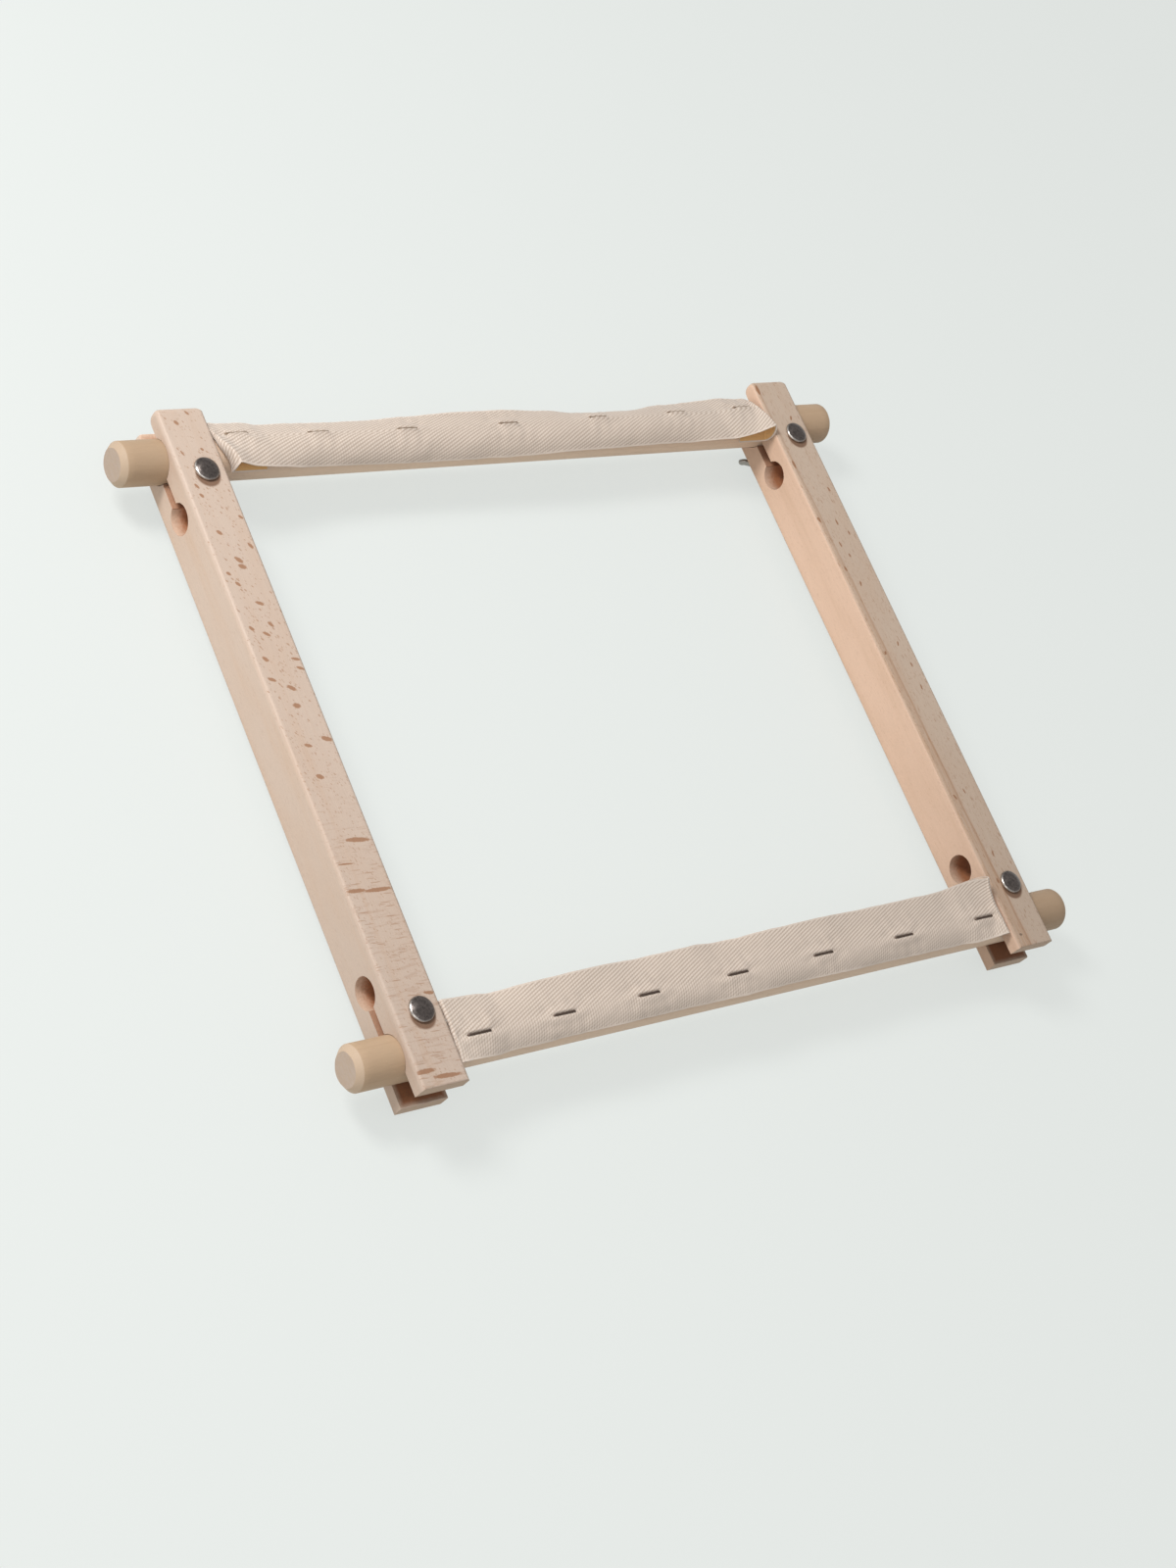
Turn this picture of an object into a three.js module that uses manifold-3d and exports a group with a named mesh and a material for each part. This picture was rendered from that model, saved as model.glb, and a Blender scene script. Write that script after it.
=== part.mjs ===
// Rotating embroidery frame: two beech side bars clamp two dowel rollers, and each roller carries
// a strip of stapled twill tape that the embroidery ground is sewn to.
// Millimetres. +X runs along the rollers, +Y along the bars, +Z up to the bolt heads.
// The origin is at the middle of the frame, on the surface that the four bolt tips stand on.
import * as THREE from "three";
import { mergeVertices } from "three/addons/utils/BufferGeometryUtils.js";
import Module from "manifold-3d";

// Side bars
const barLength = 304.8;
const barWidth = 22;
const jawWall = 2.925; // wood left above and below the roller bore
const barsApart = 304.8; // clear width between the two bars
const barsShift = -1.4; // the bars sit this far from the middle of the rollers
const arrisRound = 1.7; // round on the four long edges
const topEndRound = 3; // round on the jaw ends at +Y
const bottomEndRound = 0.8; // round on the jaw ends at -Y

// Clamp at each end of a bar: mouth, roller bore, saw slot and round relief hole
const boreSetback = 18.2; // bar end to roller axis
const mouthHeight = 11.7;
const topLip = 2.4; // flare of the mouth at +Y
const bottomLip = 0.5; // flare of the mouth at -Y
const slotHeight = 4;
const boltWall = 0.4; // wood between the roller bore and the bolt hole
const neckLength = 14.9; // bolt axis to relief hole axis
const reliefRadius = 6.8;

// Rollers
const rollerRadius = 9.525;
const rollerLength = 393;
const rollerChamfer = 2.4;

// Carriage bolts, washers and wing nuts
const boltRadius = 2.4;
const boltLength = 34; // under the head
const boltShift = 1.4; // bolts sit this far towards +X from the middle of a bar
const boltTipChamfer = 0.6;
const headRadius = 5.5;
const headHeight = 2.6;
const headRim = 0.5; // height of the upright edge of the head
const neckSide = 4.8;
const neckDepth = 2.6;
const washerRadius = 6.4;
const washerThickness = 1.2;
const hubBaseRadius = 4.8;
const hubTopRadius = 4.1;
const hubHeight = 5;
const wingSpan = 24;
const wingHeight = 6;
const wingThickness = 2;
const wingRound = 1.8; // radius of the ear at the tip of a wing
const wingEdge = 0.45; // round on the edges of a wing
const wingFootLow = 0.9; // height where a wing's lower edge leaves the hub
const wingFootHigh = 4.2; // height where its upper edge comes back to the hub
const collarHeight = 0.85; // straight foot of the hub under its taper
const wingTurns = { topLeft: 82, topRight: 208, bottomLeft: 97, bottomRight: 74 };

// Tape
const tapeThickness = 0.8;
const tapeWidth = 25.4;
const tapeOuter = 9.5; // staple line to the edge on the outside of the frame
const tapeEndGap = 1.3; // tape end to side bar
const hemLength = 18; // turned under at each end
const hemRelease = 9; // the tape comes down to the roller over this length past the hem
const puffHold = 0.7; // share of the way to the first staple that the puff of a hem runs in

// Staples
const stapleCount = 7;
const stapleInset = 11; // tape end to the middle of the first staple
const crownLength = 11.4;
const legLength = 8;
const wireThickness = 0.55;
const wireWidth = 0.8;
const crownBend = 0.9; // outer radius where the crown turns into a leg

// Clearances
const rollerGap = 0.25; // roller in its bore
const boltGap = 0.15; // bolt in bar, washer and nut
const seatGap = 0.2; // faces that bear on each other
const clothGap = 0.3; // tape to roller, staple to tape, and between the layers of a hem
const legGap = 0.15; // staple leg in tape and roller

const cutMargin = 1; // how far a cutter runs past the face that it cuts

// Facets
const roundSides = 48;
const boltSides = 24;
const arcSteps = 5;

// Worked out from the sizes above
const boreRadius = rollerRadius + rollerGap;
const barHeight = 2 * (boreRadius + jawWall);
const barUnderside = boltLength - barHeight - seatGap;
const barMiddleZ = barUnderside + barHeight / 2;
const rollerY = barLength / 2 - boreSetback;
const boltHoleRadius = boltRadius + boltGap;
const boltY = rollerY - boreRadius - boltWall - boltHoleRadius;
const reliefY = boltY - neckLength;
const leftBarX = barsShift - (barsApart + barWidth) / 2;
const rightBarX = barsShift + (barsApart + barWidth) / 2;
const tapeLength = barsApart - 2 * tapeEndGap;
const tapeHeight = clothGap + tapeThickness / 2; // roller surface to the middle of the tape
const layerStep = tapeThickness + clothGap; // from one layer of a hem to the next

// How each tape lies. Curl is 1 where the cloth follows the roller and 0 where it runs straight off
// it, at even steps from -X to +X. Line is the angle of the staple line round the roller, in degrees
// from +Y, at each staple. Wander is how far each staple is from its even place, as a share of the
// even spacing. Puff is how high the fold of the hem stands at the -X end and at the +X end, in
// layers of cloth.
const bottomTape = {
  side: -1,
  line: [94, 92.5, 91.5, 90.5, 90, 91, 91.5],
  wander: [0.006, -0.088, -0.156, -0.124, -0.081, -0.049, 0.011],
  outerCurl: [0.1, 0.75, 0.9, 0.7, 0.95, 0.9, 0.6, 0.95, 0.7, 0.95, 0.85, 0.9, 0.1],
  innerCurl: [0.12, 0.3, 0.1, -0.02, 0.12, 0.05, 0.22, 0.05, -0.06, 0.02, -0.05, -0.08, -0.02],
  puff: [1.5, 3.8],
};
const topTape = {
  side: 1,
  line: [63, 67, 72, 72, 67, 63, 66],
  wander: [0.013, -0.131, -0.161, 0.015, 0.133, 0.15, 0.011],
  outerCurl: [0.1, 0.2, 0.35, 0.45, 0.25, 0, 0, 0.3, 0.8, 0.75, 0.3, 0, 0.1],
  innerCurl: [0.35, 0.65, 0.9, 0.97, 0.95, 0.9, 0.85, 0.75, 0.8, 0.85, 0.9, 0.6, 0.17],
  puff: [2.2, 3],
};

const wasm = await Module();
wasm.setup();

const beech = new THREE.MeshStandardMaterial({ color: 0xd9c0a8, roughness: 0.62, metalness: 0 });
const dowelWood = new THREE.MeshStandardMaterial({ color: 0xdcc8a8, roughness: 0.6, metalness: 0 });
const twill = new THREE.MeshStandardMaterial({ color: 0xe2d8c8, roughness: 0.95, metalness: 0 });
const stapleSteel = new THREE.MeshStandardMaterial({ color: 0x6a625c, roughness: 0.4, metalness: 1 });
const boltSteel = new THREE.MeshStandardMaterial({ color: 0x55524f, roughness: 0.3, metalness: 1 });
const zincSteel = new THREE.MeshStandardMaterial({ color: 0xa8a6a2, roughness: 0.38, metalness: 1 });

// Geometry to solid and back, so that pieces can be cut and joined
function solid(geometry) {
  const plain = geometry.index ? geometry.toNonIndexed() : geometry.clone();
  plain.deleteAttribute("normal");
  plain.deleteAttribute("uv");
  const merged = mergeVertices(plain, 1e-4);
  return new wasm.Manifold(
    new wasm.Mesh({
      numProp: 3,
      vertProperties: merged.attributes.position.array,
      triVerts: new Uint32Array(merged.index.array),
    }),
  );
}

function surface(body) {
  const mesh = body.getMesh();
  const geometry = new THREE.BufferGeometry();
  geometry.setAttribute("position", new THREE.BufferAttribute(mesh.vertProperties, 3));
  geometry.setIndex(new THREE.BufferAttribute(mesh.triVerts, 1));
  const shaded = geometry.toNonIndexed();
  shaded.computeVertexNormals();
  return shaded;
}

function named(name, geometry, material) {
  const mesh = new THREE.Mesh(geometry, material);
  mesh.name = name;
  return mesh;
}

function box(sizeX, sizeY, sizeZ, x = 0, y = 0, z = 0) {
  return solid(new THREE.BoxGeometry(sizeX, sizeY, sizeZ).translate(x, y, z));
}

// An outline drawn in (Y, Z) and pulled through a width along X, centred on X = 0
function acrossBar(shape, width) {
  const geometry = new THREE.ExtrudeGeometry(shape, {
    depth: width,
    bevelEnabled: false,
    curveSegments: arcSteps,
  });
  // the outline's own x becomes +Y and its y becomes +Z, and the depth runs along +X
  const turn = new THREE.Matrix4().makeBasis(
    new THREE.Vector3(0, 1, 0),
    new THREE.Vector3(0, 0, 1),
    new THREE.Vector3(1, 0, 0),
  );
  return solid(geometry.applyMatrix4(turn).translate(-width / 2, 0, 0));
}

function cylinderAlongX(radius, length, y, z) {
  const geometry = new THREE.CylinderGeometry(radius, radius, length, roundSides);
  return solid(geometry.rotateZ(Math.PI / 2).translate(0, y, z));
}

// A rectangle with its own round at the two corners of each short end
function roundedOutline(x0, y0, x1, y1, startRound, endRound) {
  const shape = new THREE.Shape();
  shape.moveTo(x0 + startRound, y0);
  shape.lineTo(x1 - endRound, y0);
  shape.absarc(x1 - endRound, y0 + endRound, endRound, -Math.PI / 2, 0, false);
  shape.lineTo(x1, y1 - endRound);
  shape.absarc(x1 - endRound, y1 - endRound, endRound, 0, Math.PI / 2, false);
  shape.lineTo(x0 + startRound, y1);
  shape.absarc(x0 + startRound, y1 - startRound, startRound, Math.PI / 2, Math.PI, false);
  shape.lineTo(x0, y0 + startRound);
  shape.absarc(x0 + startRound, y0 + startRound, startRound, Math.PI, 1.5 * Math.PI, false);
  return shape;
}

// The mouth between two jaws, from the roller axis out past the bar end, flared at the lips
function mouthOutline(lip) {
  const end = barLength / 2;
  const beyond = end + cutMargin;
  const low = -mouthHeight / 2;
  const high = mouthHeight / 2;
  const shape = new THREE.Shape();
  shape.moveTo(rollerY, low);
  shape.lineTo(end - lip, low);
  shape.quadraticCurveTo(end, low, end, low - lip);
  shape.lineTo(beyond, low - lip);
  shape.lineTo(beyond, high + lip);
  shape.lineTo(end, high + lip);
  shape.quadraticCurveTo(end, high, end - lip, high);
  shape.lineTo(rollerY, high);
  return shape;
}

// Everything that one clamp takes out of a bar, at the +Y end and centred on Z = 0
function clampCut(lip) {
  const through = barWidth + 2 * cutMargin;
  const slotLength = rollerY - reliefY;
  return acrossBar(mouthOutline(lip), through)
    .add(cylinderAlongX(boreRadius, through, rollerY, 0))
    .add(cylinderAlongX(reliefRadius, through, reliefY, 0))
    .add(box(through, slotLength, slotHeight, 0, rollerY - slotLength / 2, 0));
}

// Bolt hole from top to bottom, with the square pocket that keeps the neck from turning
function boltHole() {
  const length = barHeight + 2 * cutMargin;
  const drill = new THREE.CylinderGeometry(boltHoleRadius, boltHoleRadius, length, boltSides);
  const pocketSide = neckSide + 2 * boltGap;
  const pocketDepth = neckDepth + boltGap;
  const pocketMiddle = (barHeight - pocketDepth + cutMargin) / 2;
  return solid(drill.rotateX(Math.PI / 2)).add(
    box(pocketSide, pocketSide, pocketDepth + cutMargin, 0, 0, pocketMiddle),
  );
}

function sideBarGeometry() {
  const profile = roundedOutline(
    -barLength / 2,
    -barHeight / 2,
    barLength / 2,
    barHeight / 2,
    bottomEndRound,
    topEndRound,
  );
  const section = roundedOutline(
    -barWidth / 2,
    -barHeight / 2,
    barWidth / 2,
    barHeight / 2,
    arrisRound,
    arrisRound,
  );
  const rodLength = barLength + 2 * cutMargin;
  const rod = new THREE.ExtrudeGeometry(section, {
    depth: rodLength,
    bevelEnabled: false,
    curveSegments: arcSteps,
  });
  const blank = acrossBar(profile, barWidth + 2 * cutMargin).intersect(
    solid(rod.rotateX(Math.PI / 2).translate(0, rodLength / 2, 0)),
  );
  const hole = boltHole();
  return surface(
    blank
      .subtract(clampCut(topLip))
      .subtract(clampCut(bottomLip).rotate([0, 0, 180]))
      .subtract(hole.translate([boltShift, boltY, 0]))
      .subtract(hole.translate([boltShift, -boltY, 0])),
  );
}

// Height of the middle of the tape over the roller, at x along it and s across it. The hem lies under
// the tape, and its fold stands up in a puff that the staple holds down at the staple line.
function layHeight(tape, x, s) {
  const fromEnd = tapeLength / 2 - Math.abs(x);
  const puff = (tape.puff[x < 0 ? 0 : 1] - 1) * layerStep;
  const overHem = 1 - THREE.MathUtils.smoothstep(fromEnd, hemLength, hemLength + hemRelease);
  const held = (stapleInset - crownLength / 2) * puffHold;
  const puffReach = THREE.MathUtils.lerp(held, hemLength, Math.abs(s) / tapeWidth);
  const nearFold = 1 - THREE.MathUtils.smoothstep(fromEnd, 0, puffReach);
  return tapeHeight + layerStep * overHem + puff * nearFold;
}

// A value read from an even list, eased between its entries
function along(list, x) {
  const place = THREE.MathUtils.clamp(x / tapeLength + 0.5, 0, 1) * (list.length - 1);
  const i = Math.min(Math.floor(place), list.length - 2);
  return THREE.MathUtils.lerp(list[i], list[i + 1], THREE.MathUtils.smoothstep(place - i, 0, 1));
}

// The angle of the staple line at x, eased between the staples
function lineAngle(tape, x) {
  const reach = tapeLength / 2 - stapleInset;
  const place = THREE.MathUtils.clamp(x / (2 * reach) + 0.5, 0, 1) * (tape.line.length - 1);
  const i = Math.min(Math.floor(place), tape.line.length - 2);
  const eased = THREE.MathUtils.smoothstep(place - i, 0, 1);
  return THREE.MathUtils.degToRad(THREE.MathUtils.lerp(tape.line[i], tape.line[i + 1], eased));
}

// A point of the tape in the roller's own frame: x along it, s across it from the staple line
// towards the middle of the frame, and height over the roller
function clothPoint(tape, x, s, height, shiftX) {
  const angle = lineAngle(tape, x);
  const curl = along(s < 0 ? tape.outerCurl : tape.innerCurl, x);
  const radius = rollerRadius + tapeHeight;
  const bend = (curl * s) / radius;
  const straight = Math.abs(curl) < 1e-3;
  const run = straight ? s : (radius / curl) * Math.sin(bend);
  const drop = straight ? 0 : (radius / curl) * (1 - Math.cos(bend));
  const over = height - tapeHeight;
  const out = radius - drop + over * Math.cos(bend);
  const forward = run + over * Math.sin(bend);
  return [
    x + shiftX,
    out * Math.cos(angle) - tape.side * forward * Math.sin(angle),
    out * Math.sin(angle) + tape.side * forward * Math.cos(angle),
  ];
}

// The line that the middle of the tape follows at s across it: along the under side of one hem, round
// its fold, over the roller and back under at the other end, as [x, height]
function clothPath(tape, s) {
  const end = tapeLength / 2 - tapeThickness / 2;
  const hemEnd = tapeLength / 2 - hemLength;
  const foldSteps = 4;
  const hemSteps = 7;
  const openSteps = 20;
  const fold = (side) => {
    const rise = (layHeight(tape, side * tapeLength * 0.5, s) - tapeHeight) / 2;
    return Array.from({ length: foldSteps + 1 }, (_, i) => {
      const a = -Math.PI / 2 + (Math.PI * i) / foldSteps;
      return [side * (end - rise + rise * Math.cos(a)), tapeHeight + rise + rise * Math.sin(a)];
    });
  };
  const left = fold(-1);
  const right = fold(1).reverse();
  const from = left[foldSteps][0];
  const to = right[0][0];
  // the steps over a hem lie closer together towards its fold
  const hemReach = hemLength + hemRelease;
  const overHem = Array.from({ length: hemSteps }, (_, i) => hemReach * ((i + 1) / hemSteps) ** 2);
  const open = Array.from({ length: openSteps - 1 }, (_, i) => (i + 1) / openSteps);
  const top = [
    ...overHem.map((run) => from + run),
    ...open.map((share) => THREE.MathUtils.lerp(from + hemReach, to - hemReach, share)),
    ...overHem.map((run) => to - run).reverse(),
  ];
  const hemMiddle = (hemEnd + end) / 2;
  return [
    [-hemEnd, tapeHeight],
    [-hemMiddle, tapeHeight],
    ...left,
    ...top.map((x) => [x, layHeight(tape, x, s)]),
    ...right,
    [hemMiddle, tapeHeight],
    [hemEnd, tapeHeight],
  ];
}

// Closed strip of cloth: a grid on each face, joined round its edge
function clothGeometry(tape) {
  const outerSteps = 3;
  const innerSteps = 5;
  const inner = tapeWidth - tapeOuter;
  const across = [
    ...Array.from({ length: outerSteps }, (_, i) => -tapeOuter * (1 - i / outerSteps)),
    ...Array.from({ length: innerSteps + 1 }, (_, i) => (inner * i) / innerSteps),
  ];
  const positions = [];
  const paths = across.map((s) => clothPath(tape, s));
  const rows = paths[0].length;
  const columns = across.length;
  for (const face of [1, -1])
    paths.forEach((path, column) => {
      path.forEach(([x, height], i) => {
        const before = path[Math.max(i - 1, 0)];
        const after = path[Math.min(i + 1, rows - 1)];
        const length = Math.hypot(after[0] - before[0], after[1] - before[1]);
        const offX = (-(after[1] - before[1]) / length) * (tapeThickness / 2) * face;
        const offHeight = ((after[0] - before[0]) / length) * (tapeThickness / 2) * face;
        positions.push(...clothPoint(tape, x, across[column], height + offHeight, offX));
      });
    });
  const at = (face, row, column) => face * rows * columns + column * rows + row;
  const index = [];
  // a quad is turned over on the tape whose columns run the other way, so that it still faces out
  const quad = (a, b, c, d) => index.push(...(tape.side < 0 ? [a, b, c, a, c, d] : [b, a, c, c, a, d]));
  const lastRow = rows - 1;
  const lastColumn = columns - 1;
  for (let row = 0; row < lastRow; row++) {
    const next = row + 1;
    for (let column = 0; column < lastColumn; column++) {
      const beside = column + 1;
      quad(at(0, row, column), at(0, next, column), at(0, next, beside), at(0, row, beside));
      quad(at(1, row, column), at(1, row, beside), at(1, next, beside), at(1, next, column));
    }
    quad(at(0, row, 0), at(1, row, 0), at(1, next, 0), at(0, next, 0));
    quad(at(0, row, lastColumn), at(0, next, lastColumn), at(1, next, lastColumn), at(1, row, lastColumn));
  }
  for (let column = 0; column < lastColumn; column++) {
    const beside = column + 1;
    quad(at(0, 0, column), at(0, 0, beside), at(1, 0, beside), at(1, 0, column));
    quad(at(0, lastRow, column), at(1, lastRow, column), at(1, lastRow, beside), at(0, lastRow, beside));
  }
  const geometry = new THREE.BufferGeometry();
  geometry.setAttribute("position", new THREE.Float32BufferAttribute(positions, 3));
  geometry.setIndex(index);
  return geometry;
}

// Where each staple of a tape stands: x, the angle round the roller, and the radius under its crown
function staplePlaces(tape) {
  const reach = tapeLength / 2 - stapleInset;
  const spacing = (2 * reach) / (stapleCount - 1);
  return Array.from({ length: stapleCount }, (_, i) => {
    const x = -reach + spacing * (i + tape.wander[i % tape.wander.length]);
    const under = [-0.5, 0, 0.5].map((share) => layHeight(tape, x + share * crownLength, 0));
    return {
      x,
      angle: lineAngle(tape, x),
      seat: rollerRadius + Math.max(...under) + tapeThickness / 2 + clothGap,
    };
  });
}

// A staple with its crown along X, its legs down -Z and the under side of the crown at Z = 0
function stapleGeometry() {
  const half = crownLength / 2;
  const inside = half - wireThickness;
  const innerBend = crownBend - wireThickness;
  const point = legLength - wireThickness;
  const shape = new THREE.Shape();
  shape.moveTo(half, wireThickness - crownBend);
  shape.absarc(half - crownBend, wireThickness - crownBend, crownBend, 0, Math.PI / 2, false);
  shape.lineTo(crownBend - half, wireThickness);
  shape.absarc(crownBend - half, wireThickness - crownBend, crownBend, Math.PI / 2, Math.PI, false);
  shape.lineTo(-half, wireThickness - legLength);
  shape.lineTo(-inside, -point + wireThickness);
  shape.lineTo(-inside, -innerBend);
  shape.absarc(innerBend - inside, -innerBend, innerBend, Math.PI, Math.PI / 2, true);
  shape.lineTo(inside - innerBend, 0);
  shape.absarc(inside - innerBend, -innerBend, innerBend, Math.PI / 2, 0, true);
  shape.lineTo(inside, -point + wireThickness);
  shape.lineTo(half, wireThickness - legLength);
  const geometry = new THREE.ExtrudeGeometry(shape, {
    depth: wireWidth,
    bevelEnabled: false,
    curveSegments: 2,
  });
  return geometry.rotateX(Math.PI / 2).translate(0, wireWidth / 2, 0);
}

// The two holes that a staple's legs make, long enough to pass the tape and end in the roller
function legHoles(place) {
  const middle = crownLength / 2 - wireThickness / 2;
  const sizeX = wireThickness + 2 * legGap;
  const sizeY = wireWidth + 2 * legGap;
  const depth = legLength + legGap;
  const centreZ = place.seat + wireThickness - depth / 2;
  return box(sizeX, sizeY, depth, -middle, 0, centreZ)
    .add(box(sizeX, sizeY, depth, middle, 0, centreZ))
    .rotate([THREE.MathUtils.radToDeg(place.angle) - 90, 0, 0])
    .translate([place.x, 0, 0]);
}

function rollerGeometry(places) {
  const half = rollerLength / 2;
  const profile = [
    new THREE.Vector2(0, -half),
    new THREE.Vector2(rollerRadius - rollerChamfer, -half),
    new THREE.Vector2(rollerRadius, rollerChamfer - half),
    new THREE.Vector2(rollerRadius, half - rollerChamfer),
    new THREE.Vector2(rollerRadius - rollerChamfer, half),
    new THREE.Vector2(0, half),
  ];
  const dowel = solid(new THREE.LatheGeometry(profile, roundSides).rotateZ(-Math.PI / 2));
  return surface(places.reduce((wood, place) => wood.subtract(legHoles(place)), dowel));
}

// One roller with its tape and staples, in a group whose X axis is the roller's own
function rollerAssembly(name, tape, y) {
  const group = new THREE.Group();
  group.position.set(0, y, barMiddleZ);
  const places = staplePlaces(tape).map((place) => ({ ...place, x: place.x + barsShift }));
  group.add(named(`${name}_roller`, rollerGeometry(places), dowelWood));
  const cloth = solid(clothGeometry(tape).translate(barsShift, 0, 0));
  const pierced = places.reduce((body, place) => body.subtract(legHoles(place)), cloth);
  group.add(named(`${name}_tape`, surface(pierced), twill));
  places.forEach((place, i) => {
    const staple = named(`${name}_staple_${i + 1}`, stapleGeometry(), stapleSteel);
    const turn = place.angle - Math.PI / 2;
    staple.rotation.x = turn;
    staple.position.set(place.x, -place.seat * Math.sin(turn), place.seat * Math.cos(turn));
    group.add(staple);
  });
  return group;
}

// Carriage bolt with its tip at Z = 0: domed head, square neck and plain shank
function boltGeometry() {
  const domeHeight = headHeight - headRim;
  const domeRadius = (headRadius ** 2 + domeHeight ** 2) / (2 * domeHeight);
  const sweep = Math.asin(headRadius / domeRadius);
  const domeSteps = 6;
  const profile = [
    new THREE.Vector2(0, 0),
    new THREE.Vector2(boltRadius - boltTipChamfer, 0),
    new THREE.Vector2(boltRadius, boltTipChamfer),
    new THREE.Vector2(boltRadius, boltLength),
    new THREE.Vector2(headRadius, boltLength),
  ];
  for (let i = 0; i <= domeSteps; i++) {
    const a = sweep * (1 - i / domeSteps);
    const rise = domeRadius * Math.cos(a) - (domeRadius - domeHeight);
    const out = i === domeSteps ? 0 : domeRadius * Math.sin(a);
    profile.push(new THREE.Vector2(out, boltLength + headRim + rise));
  }
  const turned = solid(new THREE.LatheGeometry(profile, boltSides).rotateX(Math.PI / 2));
  const neckMiddle = boltLength - (neckDepth - headRim) / 2;
  return surface(turned.add(box(neckSide, neckSide, neckDepth + headRim, 0, 0, neckMiddle)));
}

function washerGeometry() {
  const profile = [
    new THREE.Vector2(boltHoleRadius, 0),
    new THREE.Vector2(washerRadius, 0),
    new THREE.Vector2(washerRadius, washerThickness),
    new THREE.Vector2(boltHoleRadius, washerThickness),
    new THREE.Vector2(boltHoleRadius, 0),
  ];
  return new THREE.LatheGeometry(profile, boltSides).rotateX(Math.PI / 2);
}

// One ear of a wing nut in (X, Z): it springs from the hub, rises outwards and ends in a round tip
function wingOutline() {
  const tipX = wingSpan / 2 - wingRound;
  const tipZ = wingHeight - wingRound;
  const tipTurn = 0.82 * Math.PI;
  const shape = new THREE.Shape();
  shape.moveTo(boltHoleRadius, wingFootLow);
  shape.quadraticCurveTo(tipX, wingFootLow, wingSpan / 2, tipZ);
  shape.absarc(tipX, tipZ, wingRound, 0, tipTurn, false);
  shape.quadraticCurveTo(hubTopRadius, wingFootHigh, boltHoleRadius, wingFootHigh);
  return shape;
}

// Wing nut with its bearing face at Z = 0 and its wings up
function wingNutGeometry() {
  const profile = [
    new THREE.Vector2(0, 0),
    new THREE.Vector2(hubBaseRadius, 0),
    new THREE.Vector2(hubBaseRadius, collarHeight),
    new THREE.Vector2(hubTopRadius, hubHeight),
    new THREE.Vector2(0, hubHeight),
  ];
  const hub = solid(new THREE.LatheGeometry(profile, boltSides).rotateX(Math.PI / 2));
  const ear = new THREE.ExtrudeGeometry(wingOutline(), {
    depth: wingThickness - 2 * wingEdge,
    bevelThickness: wingEdge,
    bevelSize: wingEdge,
    bevelOffset: -wingEdge,
    bevelSegments: 1,
    curveSegments: arcSteps,
  });
  const wing = solid(ear.rotateX(Math.PI / 2).translate(0, wingThickness / 2 - wingEdge, 0));
  const boreLength = 2 * (hubHeight + cutMargin);
  const bore = new THREE.CylinderGeometry(boltHoleRadius, boltHoleRadius, boreLength, boltSides);
  return surface(
    hub
      .add(wing)
      .add(wing.rotate([0, 0, 180]))
      .subtract(solid(bore.rotateX(Math.PI / 2))),
  );
}

// One side bar with the two bolts that stay in it, and the washers and wing nuts under it
function barAssembly(side, x) {
  const group = new THREE.Group();
  group.position.set(x, 0, 0);
  const bar = named(`${side.toLowerCase()}_side_bar`, sideBarGeometry(), beech);
  bar.position.z = barMiddleZ;
  group.add(bar);
  for (const [end, y] of [["top", boltY], ["bottom", -boltY]]) {
    const label = `${end}_${side.toLowerCase()}`;
    const clamp = new THREE.Group();
    clamp.position.set(boltShift, y, 0);
    const washerTop = barUnderside - seatGap;
    const washer = named(`${label}_washer`, washerGeometry(), zincSteel);
    washer.position.z = washerTop - washerThickness;
    const nut = named(`${label}_wing_nut`, wingNutGeometry(), zincSteel);
    nut.position.z = washerTop - washerThickness - seatGap;
    nut.rotation.set(Math.PI, 0, THREE.MathUtils.degToRad(wingTurns[end + side]));
    clamp.add(named(`${label}_carriage_bolt`, boltGeometry(), boltSteel), washer, nut);
    group.add(clamp);
  }
  return group;
}

const frame = new THREE.Group();
frame.add(
  barAssembly("Left", leftBarX),
  barAssembly("Right", rightBarX),
  rollerAssembly("top", topTape, rollerY),
  rollerAssembly("bottom", bottomTape, -rollerY),
);

export default frame;
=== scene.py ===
"""Looks, light and camera of the rotating embroidery frame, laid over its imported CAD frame."""

import math

import bmesh
import bpy
from bpy.props import FloatProperty, FloatVectorProperty, PointerProperty
from mathutils import Color, Matrix, Vector, noise


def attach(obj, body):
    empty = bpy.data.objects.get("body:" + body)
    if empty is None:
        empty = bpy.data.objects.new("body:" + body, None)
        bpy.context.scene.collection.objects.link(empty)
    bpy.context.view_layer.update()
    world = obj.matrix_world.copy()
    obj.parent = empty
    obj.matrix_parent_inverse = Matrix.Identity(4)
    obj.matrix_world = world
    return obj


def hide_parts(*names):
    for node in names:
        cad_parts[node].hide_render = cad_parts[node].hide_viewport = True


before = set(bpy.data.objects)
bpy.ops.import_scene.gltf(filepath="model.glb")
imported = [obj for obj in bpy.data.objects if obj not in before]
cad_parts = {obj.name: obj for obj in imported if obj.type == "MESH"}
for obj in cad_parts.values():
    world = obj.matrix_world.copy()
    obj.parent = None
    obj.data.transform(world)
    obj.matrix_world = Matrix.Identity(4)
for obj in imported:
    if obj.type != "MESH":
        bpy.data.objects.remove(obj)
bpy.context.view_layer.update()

bl_info = {
    "name": "Rotating embroidery frame",
    "version": (1, 0, 0),
    "blender": (4, 5, 0),
    "location": "3D View > Sidebar > Embroidery frame",
    "description": "Beech bars, dowel rollers, twill tapes and clamp fittings of an embroidery frame",
    "category": "Object",
}

# From millimetres to metres and back
MM = 0.001
TO_MM = 1000.0

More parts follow.
